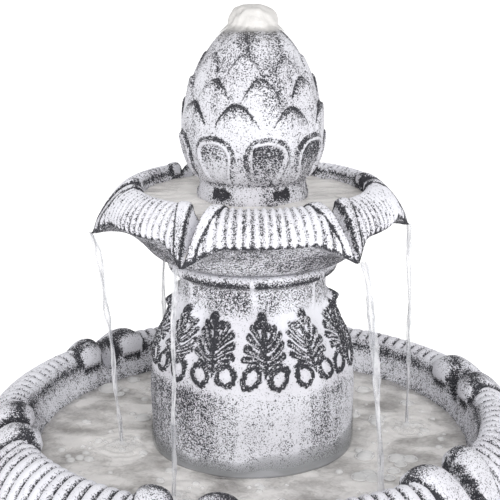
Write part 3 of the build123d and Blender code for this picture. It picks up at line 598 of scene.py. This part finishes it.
def palmette_row(theta, z, radius, low, high):
    """A row of motifs round a casting: how far each point is raised, its paint, and its clear ground."""
    pitch = tau / palmette_count
    place = (theta - radians(first_palmette) + pitch / 2) / pitch
    turn = (place % 1 - 0.5) * pitch
    unit = (high - low) / palmette_height
    tilt = 0.12 * np.sin(2.4 * np.floor(place))
    x = 1.08 * turn * radius / unit
    y = (z - low) / unit + 1.6 * np.sin(0.16 * x + 3.1 * np.floor(place))
    x = x + tilt * (y - 20) + 1.3 * np.sin(0.21 * y + 1.7 * np.floor(place))
    height, paint = palmette(x, y)
    paint *= 1 - 0.62 * rise(0.12, 0.45, wander(0.35 * x + 9 * np.floor(place), 0.05 * y, 21))
    inside = (y > -6) & (y < 80)
    swell = 1 + palmette_swell * rise(20, palmette_height, y)
    cushion = np.exp(-((x / 24) ** 4)) * rise(8, 30, y) * (1 - rise(66, 78, y))
    hood = 5.5 * MM * np.exp(-((x / 8) ** 2) - ((y - 67) / 8) ** 2)
    lifted = (3.2 * MM * height * swell + 1.6 * MM * cushion * swell + hood) * inside
    around = np.exp(-((x / 40) ** 6)) * inside * (1 - paint)
    return lifted, paint * inside, around


def turned(theta, angle):
    """The turn from an angle in degrees to each point, in degrees between -180 and 180."""
    return (np.degrees(theta) - angle + 180) % 360 - 180


# %% [markdown]
# The column and the pedestal are the same form at two sizes: a drum, a bell that draws in to a plain neck,
# and a rounded collar that the next bowl sits on. The row of palmettes runs round the bell.


# %% The column
drum_points = [(100, 0), (101.6, 40), (103, 80), (104.2, 110), (104.4, 130), (102.8, 145)]
bell_points = [(102.8, 145), (101, 155), (98, 168), (93, 181), (86, 192), (79.5, 204)]
bell_points += [(75.5, 212), (73.6, 220)]
collar_points = [(73.6, 220), (73.4, 238), (74.0, 243.5), (77.5, 247.5), (82.5, 250)]
collar_points += [(84.6, 253.5), (84.4, 257.5), (82.6, 260.2), (80, 261)]
bore_points = [(80, 261), (62.5, 261), (62.5, 250.5), (55, 250.5), (64.5, 232), (64.5, 214)]
bore_points += [(90, 150), (91, 0), (100, 0)]
column_front = [(drum_points, 42), (bell_points, 84), (collar_points, 36)]
column_section, column_shown = section_rows(basin_floor, column_front, bore_points, 24)
lime_runs = (0.5, -54, 53)


def column_shape(theta, row):
    r, z = column_section[row].T
    shown = row < column_shown
    up = (z - basin_floor) / MM
    low, high = basin_floor + 152.5 * MM, basin_floor + 225.5 * MM
    lifted, paint, around = palmette_row(theta, z, 99 * MM, low, high)
    drum = 1 - rise(144, 158, up)
    dark = 0.98 * paint - 0.08 * around + 0.33 * drum + 0.08
    # The drum's grains thicken to the left and thin a little right of the front: partly the wash's own uneven
    # speckle, partly painted shade on the left and painted light at the front right.
    dark += 0.12 * drum * rise(5, 60, -turned(theta, 0)) - 0.24 * drum * ridge(turned(theta, 12), 18)
    dark += (0.45 + 0.25 * wander(theta * 2, z, 44)) * ridge(up - 251, 3.6) + 0.42 * rise(214, 228, up)
    dark -= 0.24 * rise(254, 259, up)
    runs = np.zeros_like(r)
    for angle in lime_runs:
        track = turned(theta, angle + 0.8 * np.sin(up / 7))
        runs += ridge(track, 2.0) * rise(210, 222, up) * (1 - rise(257, 260, up))
    r += (lifted + 0.5 * MM * wander(theta, z, 8) + 0.9 * MM * runs) * shown
    dark = dark * (1 - 0.9 * np.clip(runs, 0, 1))
    return r, z, dark * shown


column = rolled_casting("column_casting", 540, len(column_section), column_shape)
finish_piece(column, casting_finish, "column_tier", "casting", "column")

# %% [markdown]
# The pedestal has the column's form at nearly one and a half times its size. Its top is a flat plate with a
# hole in the middle, and it is hollow and open below, because a casting of this size is made as a shell.

# %% The pedestal
foot_points = [(146, 0), (147.5, 60), (149, 120), (150, 170), (149.6, 200), (147.5, 223)]
shoulder_points = [(147.5, 223), (144.5, 240), (139.5, 258), (132, 276), (123.5, 293)]
shoulder_points += [(117, 309), (113.3, 322), (112, 330)]
cap_ring_points = [(112, 330), (112, 339), (113, 343), (119, 346.5), (128, 349), (131.8, 355)]
cap_ring_points += [(131, 362), (127.5, 366.5), (124, 367.5)]
shell_points = [(124, 367.5), (12, 367.5), (12, 358.5), (103, 358.5), (103, 325), (137, 223.5)]
shell_points += [(137, 0), (146, 0)]
pedestal_front = [(foot_points, 36), (shoulder_points, 84), (cap_ring_points, 36)]
pedestal_section, pedestal_shown = section_rows(plinth_top, pedestal_front, shell_points, 24)


def pedestal_shape(theta, row):
    r, z = pedestal_section[row].T
    shown = row < pedestal_shown
    up = (z - plinth_top) / MM
    low, high = plinth_top + 226 * MM, plinth_top + 328 * MM
    lifted, paint, around = palmette_row(theta, z, 140 * MM, low, high)
    drum = 1 - rise(218, 234, up)
    dark = 0.98 * paint - 0.08 * around + 0.42 * drum + 0.10
    dark += 0.45 * ridge(up - 347, 2.6) + 0.30 * rise(324, 336, up) + 0.35 * (1 - rise(0, 10, up))
    r += (lifted + 0.6 * MM * wander(theta, z, 18)) * shown
    return r, z, dark * shown


pedestal = rolled_casting("pedestal_casting", 500, len(pedestal_section), pedestal_shape)
finish_piece(pedestal, casting_finish, "base", "casting", "pedestal")

# %% [markdown]
# The finial is an egg covered in scales, eight to a row, each row turned by half a scale. A lower row lies
# over the one above it, so the rows are laid on from the top down and each scale is thickest at its tip. The
# lowest row is framed like a row of little arches. A ring with oblong pockets carries the egg.

# %% The finial
ring_points = [(50, 0), (50, 36), (51, 43), (54.5, 46), (55, 52), (53.6, 58), (52.6, 63), (54.0, 67)]
egg_points = [(54.0, 67), (60.5, 76), (66.2, 91), (68.6, 108), (67.6, 123), (64.2, 140), (56.8, 163)]
egg_points += [(46.6, 182), (36.8, 196), (26.5, 206), (20, 211.5), (9.7, 213)]
hollow_points = [(9.7, 213), (9.7, 201), (48, 155), (58, 108), (41, 62), (41, 0), (50, 0)]
finial_front = [(ring_points, 50), (egg_points, 176)]
finial_section, finial_shown = section_rows(bowl_floor, finial_front, hollow_points, 16)
scale_count = 8
scale_rows = [
    # tip height above the bowl's floor, drop of the arch, thickness, darkness, the turn of one scale's middle
    (206, 13, 1.6, 0.40, 11),
    (186, 17, 2.6, 0.60, -8),
    (166, 18, 3.4, 0.78, 7),
    (141.5, 18, 3.8, 0.88, -12.5),
]
frame_tip, frame_foot, frame_half, frame_angle = 114.5, 66, 24.0, 11.5


def finial_shape(theta, row):
    r, z = finial_section[row].T
    shown = row < finial_shown
    up = (z - bowl_floor) / MM
    lift = np.zeros_like(r)
    clouds = wander(theta, z, 21)
    dark = 0.42 + 0.36 * clouds
    pitch = tau / scale_count
    girth = np.maximum(r / MM, 14)
    for tip, drop, thickness, weight, middle_angle in scale_rows:
        place = (theta - radians(middle_angle)) / pitch + 0.5
        luck = np.sin(12.9 * np.floor(place) + 0.7 * tip)
        x = (place % 1 - 0.5) * pitch * girth + 1.2 * luck
        span = np.abs(x) / (20.0 * girth / 68)
        inside = tip + 1.6 * luck - drop * span**2 - up
        over = rise(-0.5, 0.6, inside)
        fade = np.clip(1.15 - span**2, 0, 1)
        wedge = thickness * fade * (0.15 + 0.85 * np.clip(1 - inside / 26, 0, 1))
        lift = lift * (1 - over) + np.maximum(wedge, 0.25 * lift) * over
        edge = ridge(inside + 0.6, 1.8 + 0.6 * luck) * np.clip(fade * 5, 0, 1)
        dark = np.maximum(dark * (1 - 0.35 * over * fade), weight * edge)
        dark = np.maximum(dark, over * weight * 0.72 * np.exp(-np.maximum(inside - 1, 0) / 9) * fade)
    # The lowest row: tall arches, each a rough dark band, a raised white rim and a set-back middle.
    place = (theta - radians(frame_angle)) / pitch + 0.5
    luck = np.sin(12.9 * np.floor(place) + 2.0)
    x = (place % 1 - 0.5) * pitch * girth + 0.8 * luck
    waist = frame_half * (0.70 + 0.30 * rise(frame_foot, frame_foot + 30, up)) * (1 + 0.04 * luck)
    over_spring = np.maximum(up - (frame_tip - 22), 0) / 22
    arch = ((np.abs(x) / waist) ** 2.4 + over_spring**2.4) ** (1 / 2.4)
    inside = (1 - arch) * waist + 0.7 * wander(theta * 4, z, 33)
    over = rise(-0.4, 0.6, inside)
    band = over * (1 - rise(4.2, 5.2, inside))
    rim = over * rise(4.2, 5.2, inside) * (1 - rise(7.0, 8.2, inside))
    middle = over * rise(7.4, 8.6, inside)
    lift = lift * (1 - over) + over * (1.4 * band * rise(0, 3, inside) + 3.4 * rim + 0.6 * middle)
    high = rise(frame_foot + 8, frame_tip - 14, up)
    dark = dark * (1 - over)
    band_dark = 0.34 + 0.30 * high + 0.35 * wander(theta * 3, z, 34)
    dark = np.maximum(dark, band * band_dark * (up > frame_foot))
    dark = np.maximum(dark, middle * (0.24 + 0.10 * luck + 0.40 * high**2 + 0.2 * clouds))
    dark = dark + 0.06 * rim
    egg = rise(64, 71, up)
    ring = rise(43, 47, up) * (1 - rise(61, 65, up))
    pocket_turn = turned(theta, 28 + 60 * np.round(turned(theta, 28) / 60))
    ragged = 1 + 0.25 * np.sin(9 * theta + 1.3) + 0.2 * np.sin(31 * theta)
    pocket = 1 - rise(0.8, 1.15, np.abs(pocket_turn) / (10.5 * ragged))
    pocket *= ridge(up - 56, 3.4 * ragged) * ring
    r += (lift * egg + 0.4 * wander(theta, z, 5)) * MM * shown
    r -= 4.0 * MM * np.clip(pocket, 0, 1) * shown
    dark = dark * egg + 1.3 * pocket + (0.24 + 0.4 * clouds) * (1 - egg) + 0.25 * ridge(up - 66, 1.5)
    return r, z, dark * shown


finial = rolled_casting("finial_casting", 410, len(finial_section), finial_shape)
# The finial's copy has more grains, its own thicker speckle, and its white at 0.90, which is painted shade
# against the key lamp lighting the top more than the drum.
finish_piece(finial, whitewash("finial_shaded_whitewash", 0.10, 0.90), "finial_tier", "casting", "finial")

# %% [markdown]
# The water is part of the look: a pool in each bowl, six streams, and the froth over the nozzle. Moving water
# is full of air, so it reads as a milky sheet and not as clear glass. A value called froth at every vertex
# makes it whiter and less clear where it is stirred up.


# %% The water's finish
def water_finish(name, still, stirred, alpha, froth_alpha, streak_scale, rough=0.12):
    """Milky water: alpha where it is still, and alpha + froth_alpha where it is full of air."""
    material, shader, place = new_material(name)
    froth = vertex_value(place, "froth")
    clouds = noise(stretched(place, 1, 1, 0.5), 30 * streak_scale, 5, 0.62, 1.2)
    grain = noise(place, 160 * streak_scale, 4, 0.6, 0.8)
    mixed = (clouds * 0.65 + grain * 0.8 + froth * 0.35 - 0.235).between(0.34, 0.74)
    feed(shader, "Base Color", mixed.mix((*still, 1), (*stirred, 1)))
    feed(shader, "Roughness", rough + froth * 0.25)
    feed(shader, "Alpha", (froth * froth_alpha + grain * 0.12 + alpha).between(0, 1))
    feed(shader, "Normal", bump(clouds * 0.6 + grain * 0.4, 0.55, 0.004))
    return material


pool_finish = water_finish("pool_water", (0.50, 0.475, 0.455), (0.86, 0.835, 0.815), 0.36, 0.80, 1.0)
bright_finish = water_finish("upper_pool_water", (0.72, 0.69, 0.67), (0.90, 0.875, 0.85), 0.86, 0.30, 1.0)
stream_finish = water_finish("falling_water", (0.34, 0.35, 0.39), (0.95, 0.95, 0.98), 0.16, 0.34, 1.4, 0.05)
splash_finish = water_finish("splash_water", (0.60, 0.60, 0.60), (0.95, 0.95, 0.95), 0.0, 0.62, 2.2, 0.10)
froth_finish = water_finish("froth", (0.32, 0.31, 0.30), (0.66, 0.645, 0.63), 0.0, 1.0, 1.2, 0.22)

# %% [markdown]
# A pool is a thin closed sheet: a film up the piece in its middle, the rippled top, and an underside. In the
# upper bowl the sheet also runs out along the channels. No two streams fall alike, so each has its own push
# outward, its own start to one side, its own width and its own sway.

# %% The pools
upper_level = bowl_floor + 46.5 * MM
lower_level = basin_floor + 66 * MM
stream_push = (8, 34, 7, 9, 9, -26)
stream_start = (-5.5, 2.5, 0, 0, 0, -4)
stream_width = (1.0, 1.45, 1.0, 1.0, 1.0, 1.1)
stream_sway = (-1, 3, 0, -4, 5, 12)


def stream_place(k, fall):
    """The middle of stream k after a part of its fall, from 0 at the tip to 1 at the pool."""
    _, _, tip_r, tip_z = upper_channel
    angle = radians(upper_spout["angle"]) + k * spout_pitch
    out = (tip_r - 1.5 * MM) + stream_push[k] * MM * np.sqrt(fall)
    side = stream_sway[k] * MM * fall
    x = out * sin(angle) + side * cos(angle) + stream_start[k] * MM
    y = -out * cos(angle) + side * sin(angle)
    z = tip_z + 1.5 * MM + (lower_level - 4 * MM - tip_z) * fall
    return x, y, z


landings = [stream_place(k, 1.0)[:2] for k in range(spout_count)]


def waves(x, y, seed, size, count=26):
    """Small crossing waves, between about -1 and 1."""
    chance = np.random.default_rng(seed)
    total = np.zeros_like(x)
    for _ in range(count):
        heading, length = chance.uniform(0, tau), size * chance.uniform(0.6, 1.8)
        phase = chance.uniform(0, tau)
        total += np.sin((x * cos(heading) + y * sin(heading)) * tau / length + phase)
    return total / count**0.5


def pool_section(film, turns_out, rows_top, level, depth):
    """Rows of a pool: down the film on the piece in the middle, out over the surface, back underneath."""
    film_rows = np.linspace(film, 0, 8)[:-1]
    top = [(0.0, level + height) for height in film_rows]
    top += [(u, level) for u in np.linspace(0, 1, rows_top)]
    top += [(1 + u, level) for u in np.linspace(0, 1, turns_out + 1)[1:]]
    under = [(1 + u, level - depth) for u in np.linspace(1, 0, 4)]
    under += [(0.5, level - depth), (-1, level - depth), (-1, level + film), (0.0, level + film)]
    return np.array(top + under), len(top)


def pool(name, inner, film, wall_r, level, depth, channel, angle, run_out, stirred):
    """A sheet of water with ripples, which runs out along the channels when run_out is true."""
    rows, top_count = pool_section(film, 16, 60, level, depth)

    def place(theta, row):
        u, z = rows[row].T
        top = row < top_count
        turn = from_spout(theta, angle)
        mouth_r, mouth_z, tip_r, tip_z = channel
        reach = np.clip(u, 0, 1)
        r = inner + (wall_r - inner) * reach
        r = np.where(u < 0, inner - 3 * MM, r)
        half = upper_spout["channel_half"] / wall_r * 0.92
        along = np.clip(u - 1, 0, 1) * run_out
        in_channel = (np.abs(turn) < half) & (along > 0)
        narrow = np.where(in_channel, 1 - 0.80 * along**0.8, 1.0)
        r = np.where(in_channel, wall_r + (tip_r - 9 * MM - wall_r) * along, r)
        bed = mouth_z + (tip_z - mouth_z) * np.clip((r - mouth_r) / (tip_r - mouth_r), 0, 1.05)
        z = np.where(in_channel & top, np.minimum(z, bed + 2.4 * MM * (1 - 0.4 * along)), z)
        z = np.where(in_channel & ~top, bed - 1 * MM, z)
        angle_now = theta - turn + turn * narrow
        x, y = r * np.sin(angle_now), -r * np.cos(angle_now)
        froth = np.clip(0.30 * waves(x, y, 5, 0.05) + 0.45, 0, 1)
        froth *= 0.15 + 0.85 * rise(0.0, 0.14, 1 - reach)
        height = 0.45 * MM * waves(x, y, 9, 0.022) * (u > 0)
        for land_x, land_y in stirred:
            far = np.hypot(x - land_x, y - land_y)
            height += 1.6 * MM * np.cos(far * tau / 0.0105) * np.exp(-far / 0.020)
            froth += 0.9 * np.exp(-((far / 0.016) ** 2)) + 0.25 * np.exp(-((far / 0.05) ** 2))
        froth += 0.5 * in_channel
        z = z + height * top * (1 - 0.6 * in_channel)
        return np.stack([x, y, z], axis=1), froth

    return rolled(name, 720, len(rows), place, "froth")


upper_pool = pool(
    "upper_pool", inner=52 * MM, film=1 * MM, wall_r=109.5 * MM, level=upper_level, depth=2 * MM,
    channel=upper_channel, angle=upper_spout["angle"], run_out=1, stirred=[],
)
finish_piece(upper_pool, bright_finish, "bowl_tier", "water")

lower_pool = pool(
    "lower_pool", inner=102.6 * MM, film=1 * MM, wall_r=222 * MM, level=lower_level, depth=3 * MM,
    channel=lower_channel, angle=lower_spout["angle"], run_out=0, stirred=landings,
)
finish_piece(lower_pool, pool_finish, "base", "water")

film_height = 24
film_points = [(102.9, -3), (103.8, 0), (104.3, 8), (104.8, 16), (105.0, film_height)]
film_points += [(104.4, film_height), (103.4, 12), (102.2, -3)]
film_section = straight_line(heights(lower_level, film_points + film_points[:1]), 40)


def film_place(theta, row):
    r, z = film_section[row].T
    up = (z - lower_level) / (film_height * MM)
    height = 1 + 0.28 * np.sin(theta - 0.4) + 0.10 * np.sin(5 * theta) + 0.08 * np.sin(13 * theta)
    z = z + film_height * MM * np.clip(up, 0, 1) * (height - 1)
    wet = np.clip(1 - up, 0, 1) ** 0.8
    return round_axis(theta, r, z), wet


wet_material, wet_shader, wet_start = new_material("wet_film")
wetness = vertex_value(wet_start, "froth")
water_line = wetness.between(0.93, 1.0)
feed(wet_shader, "Base Color", water_line.mix((0.40, 0.41, 0.42, 1), (0.12, 0.12, 0.13, 1)))
feed(wet_shader, "Roughness", 0.12)
feed(wet_shader, "Alpha", wetness * 0.66)
wet_film = rolled("wet_film", 360, len(film_section), film_place, "froth")
finish_piece(wet_film, wet_material, "base", "water")

# %% [markdown]
# Falling water thins as it speeds up, and a stream that leaves a pointed lip is flat and slowly turns. Each
# stream is a tube whose section is an oval that turns as it falls, with small beads along it.


# %% The streams
def stream_tube(name, k, width, flatness, off_middle, phase, stir):
    """A tube along stream k, in its middle or winding round it at off_middle times its width."""
    rows = 150

    def place(theta, row):
        fall = row / (rows - 1)
        x, y, z = stream_place(k, fall)
        beads = 1 + 0.10 * np.sin(40 * fall + k) + 0.06 * np.sin(97 * fall)
        body = stream_width[k] * (3.3 - 1.2 * fall) * beads * MM
        closing = np.clip(np.minimum(row, rows - 1 - row) / 3, 0, 1)
        size = width * body * np.sqrt(closing)
        twist = (1.3 + 0.5 * k) * fall * pi + k
        across = size * np.cos(theta) + off_middle * body * np.sin(2.2 * twist + phase)
        thick = flatness * size * np.sin(theta) + 0.5 * off_middle * body * np.cos(2.2 * twist + phase)
        x = x + across * np.cos(twist) - thick * np.sin(twist) + 0.6 * MM * np.sin(17 * fall + k)
        y = y + across * np.sin(twist) + thick * np.cos(twist) + 0.6 * MM * np.cos(15 * fall + k)
        froth = stir + 0.3 * np.sin(31 * fall + 2 * np.sin(theta)) + 0.6 * rise(0.94, 1, fall)
        return np.stack([x, y, z], axis=1), np.clip(froth, 0, 1)

    return rolled(name, 14, rows, place, "froth")


def joined(name, pieces):
    """Several pieces made into one object."""
    deselect_all()
    for piece in pieces:
        piece.select_set(True)
    bpy.context.view_layer.objects.active = pieces[0]
    bpy.ops.object.join()
    pieces[0].name = name
    return pieces[0]


streams = [stream_tube(f"stream_{k + 1}", k, 1.0, 0.55, 0, 0, 0.35) for k in range(spout_count)]
streams = joined("water_streams", streams)
finish_piece(streams, stream_finish, "bowl_tier", "water")
# Two thin tubes wind round each stream; their white and grey streaks are painted glints and painted dark
# reflections along the stream's edges.
glint_strands = [
    stream_tube(f"strand_{k + 1}_{phase:.0f}", k, 0.28, 0.9, 0.74, phase, 0.2)
    for k in range(spout_count)
    for phase in (0, 2.6)
]
glint_strands = joined("stream_glint_strands", glint_strands)
glint_material, glint_shader, glint_start = new_material("stream_glint_strands")
glint = noise(stretched(glint_start, 60, 60, 22), 1.0, 3, 0.6)
highlight_mask = glint.between(0.42, 0.58)
feed(glint_shader, "Base Color", highlight_mask.mix((0.36, 0.37, 0.40, 1), (0.98, 0.98, 1.0, 1)))
feed(glint_shader, "Roughness", 0.05)
feed(glint_shader, "Alpha", 0.10 + glint * 0.6)
finish_piece(glint_strands, glint_material, "bowl_tier", "water")

# %% [markdown]
# Where a stream lands it throws up a low mound of froth, and bubbles drift out from it over the pool.


# %% Splashes and bubbles
def splash(k):
    """The mound of froth where stream k lands."""
    land_x, land_y = landings[k]
    mound = [(0, 4.6), (5, 4.0), (10, 2.6), (17, 1.0), (28, -1.5)]
    below = [(28, -1.5), (14, -3), (0, -3)]
    section, _ = section_rows(lower_level, [(mound, 14)], below, 5)

    def place(theta, row):
        r, z = section[row].T
        lump = waves(r * np.sin(theta) + k, -r * np.cos(theta), 40 + k, 0.012)
        froth = np.clip(1 - r / (26 * MM), 0, 1) * (0.75 + 0.25 * lump)
        r = r * (1 + 0.16 * np.sin(3 * theta + k) + 0.10 * np.sin(5 * theta))
        z = z + 1.3 * MM * lump * (row < 13) * (row > 0)
        return np.stack([land_x + r * np.sin(theta), land_y - r * np.cos(theta), z], axis=1), froth

    return rolled(f"splash_{k + 1}", 48, len(section), place, "froth")


splashes = joined("splashes", [splash(k) for k in range(spout_count)])
finish_piece(splashes, splash_finish, "base", "water")


def bubble(x, y, level, radius):
    """A flattened ball, half of it under the water."""
    deselect_all()
    bpy.ops.mesh.primitive_uv_sphere_add(segments=20, ring_count=12, radius=radius, location=(x, y, level))
    piece = bpy.context.object
    piece.scale = (1, 1, 0.62)
    bpy.ops.object.transform_apply(location=True, rotation=False, scale=True)
    bpy.ops.object.shade_smooth()
    return piece


small_bubble_count = 110
water_inside, water_outside = 0.110, 0.208
chance = np.random.default_rng(12)
bubbles_and_highlight_rings = []
for number in range(small_bubble_count):
    if number % 2:
        land_x, land_y = landings[int(chance.integers(0, spout_count))]
        x, y = land_x + chance.normal(0, 0.028), land_y + chance.normal(0, 0.028)
    else:
        way, out = chance.uniform(0, tau), chance.uniform(0.112, 0.205)
        x, y = out * sin(way), -out * cos(way)
    if water_inside < np.hypot(x, y) < water_outside:
        bubbles_and_highlight_rings.append(bubble(x, y, lower_level - 0.3 * MM, chance.uniform(1.6, 5.2) * MM))
# The biggest ones, each with a white ring painted as the highlight where it meets the water: across, back
# and radius. Three drift together at the left, and most of the others are on the right.
big_bubbles = [(-163, 126, 12.5), (-138, 153, 7), (-150, 110, 5)]
for low_turn, high_turn, count in ((35, 140, 12), (0, 360, 6)):
    for _ in range(count):
        way, out = radians(chance.uniform(low_turn, high_turn)), chance.uniform(116, 196)
        big_bubbles.append((out * sin(way), -out * cos(way), chance.uniform(5, 9)))
for x, y, radius in np.array(big_bubbles) * MM:
    bubbles_and_highlight_rings.append(bubble(x, y, lower_level, 0.9 * radius))
    deselect_all()
    bpy.ops.mesh.primitive_torus_add(
        location=(x, y, lower_level + 1 * MM), major_radius=radius, minor_radius=0.9 * MM, minor_segments=8
    )
    bpy.ops.object.transform_apply(location=True, rotation=False, scale=False)
    bpy.ops.object.shade_smooth()
    bubbles_and_highlight_rings.append(bpy.context.object)
bubbles_and_highlight_rings = joined("bubbles_and_highlight_rings", bubbles_and_highlight_rings)
# One white film for the bubbles and their rings; on the rings it is painted highlight.
bubble_and_highlight_material, bubble_and_highlight_shader, _ = new_material("bubble_film_and_highlight_rings")
feed(bubble_and_highlight_shader, "Base Color", (0.97, 0.97, 0.97, 1))
feed(bubble_and_highlight_shader, "Roughness", 0.03)
feed(bubble_and_highlight_shader, "Alpha", 0.50)
finish_piece(bubbles_and_highlight_rings, bubble_and_highlight_material, "base", "water")
print("bubbles_and_highlight_rings", len(bubbles_and_highlight_rings.data.vertices), "vertices")

# %% [markdown]
# The nozzle ends in the crown of the finial, so the water wells up there as a low lumpy dome, and a thin
# skirt of it runs down over the first scales.

# %% The froth on the finial
cap_points = [(0, 16.5), (9, 15.6), (17, 12.2), (22, 6.5), (24, 0.5), (24.6, -3)]
cap_points += [(28, -6.5), (32, -10), (36, -15)]
cap_under = [(36, -15), (27, -13), (14, -6), (0, -6)]
cap_section, _ = section_rows(finial_top, [(cap_points, 60)], cap_under, 8)


def cap_place(theta, row):
    r, z = cap_section[row].T
    x, y = r * np.sin(theta), -r * np.cos(theta)
    lump = waves(x, y + 0.7 * z, 61, 0.026) + 0.45 * waves(x, y + 0.5 * z, 62, 0.009)
    shown = (row < 58) * (row > 0) * rise(-6 * MM, 2 * MM, z - finial_top)
    swell = 1 + (0.045 * lump + 0.05 * np.sin(2 * theta + 0.6)) * shown
    froth = np.clip(1 + 0.12 * lump - 1.0 * rise(1 * MM, 12 * MM, finial_top - z), 0, 1)
    return np.stack([x * swell, y * swell, z + 0.8 * MM * lump * shown], axis=1), froth


froth_cap = rolled("froth_cap", 120, len(cap_section), cap_place, "froth")
finish_piece(froth_cap, froth_finish, "finial_tier", "water")

# %% [markdown]
# The pieces that nobody models for show still get a true finish: black rubber pads, stainless bolts with a
# drawn grain, moulded pump plastic with a fine texture, open foam, a clear tube, and the pump's own metals.
# One recipe makes them all: two tones of the stuff, how rough and how metallic it is, and the size, depth and
# stretch of its grain.

# %% Finishes for the fittings
fitting_finishes = {
    # slot: light tone, deep tone, roughness, grain size, bump depth in metres, then stretch, metallic, alpha
    "pad": ((0.045, 0.045, 0.045), (0.018, 0.018, 0.018), 0.82, 420, 0.0004),
    "gasket": ((0.075, 0.075, 0.078), (0.035, 0.035, 0.038), 0.74, 600, 0.0002),
    "steel": ((0.66, 0.66, 0.67), (0.48, 0.48, 0.50), 0.28, 500, 0.0001, (1, 1, 0.08), 1),
    "pump_plastic": ((0.050, 0.050, 0.056), (0.020, 0.020, 0.024), 0.48, 900, 0.0002),
    "dial_plastic": ((0.07, 0.17, 0.42), (0.04, 0.10, 0.28), 0.40, 900, 0.0001),
    "foam": ((0.13, 0.14, 0.15), (0.015, 0.015, 0.018), 0.95, 520, 0.0020),
    "tube": ((0.78, 0.82, 0.82), (0.62, 0.67, 0.68), 0.14, 60, 0.0002, (1, 1, 0.2), 0, 0.55),
    "brass": ((0.72, 0.53, 0.24), (0.44, 0.30, 0.12), 0.30, 260, 0.0001, (1, 1, 0.3), 1),
    "copper": ((0.72, 0.32, 0.16), (0.34, 0.12, 0.05), 0.34, 700, 0.0004, (0.1, 0.1, 1), 1),
    "magnet": ((0.11, 0.11, 0.12), (0.05, 0.05, 0.055), 0.55, 1100, 0.0001),
    "shaft": ((0.86, 0.86, 0.82), (0.76, 0.75, 0.71), 0.12, 300, 0.00002, (1, 1, 0.2)),
}


def fitting_finish(name, light, deep, rough, size, depth, stretch=(1, 1, 1), metallic=0, alpha=1):
    material, shader, place = new_material(name)
    grain = noise(stretched(place, *stretch), size, 4, 0.65)
    patches = noise(place, 45, 3, 0.5)
    tones = (grain * 0.6 + patches * 0.4).between(0.38, 0.60)
    feed(shader, "Base Color", tones.mix((*deep, 1), (*light, 1)))
    feed(shader, "Roughness", rough + (patches - 0.5) * 0.16)
    feed(shader, "Metallic", metallic)
    feed(shader, "Alpha", alpha)
    feed(shader, "Normal", bump(grain, 0.6, depth))
    return material


node_finishes = {slot: fitting_finish(slot, *values) for slot, values in fitting_finishes.items()}
node_finishes["casting"] = whitewash("plain_whitewash", 0.34)
for part in frame["record"]["subparts"]:
    for holder in frame["nodes"][part["node"]].material_slots:
        holder.material = node_finishes[part["material_slot"]]

# %% [markdown]
# The floor of the room is pale and plain. It is a soft grey near the fountain, so that the undersides stay
# shaded, and it glows white further off, so that the room has no edge.

# %% The floor's finish
floor_material, floor_shader, floor_place = new_material("pale_floor")
length = floor_place.node("ShaderNodeVectorMath", {"operation": "LENGTH"}, i0=floor_place)
away = floor_place.out(length, "Value")
glow = away.between(0.5, 1.6)
feed(floor_shader, "Base Color", (0.80, 0.80, 0.80, 1))
feed(floor_shader, "Roughness", 0.9)
feed(floor_shader, "Emission Color", glow.mix((0.05, 0.05, 0.05, 1), (1, 1, 1, 1)))
feed(floor_shader, "Emission Strength", 0.75)
floor.data.materials.append(floor_material)
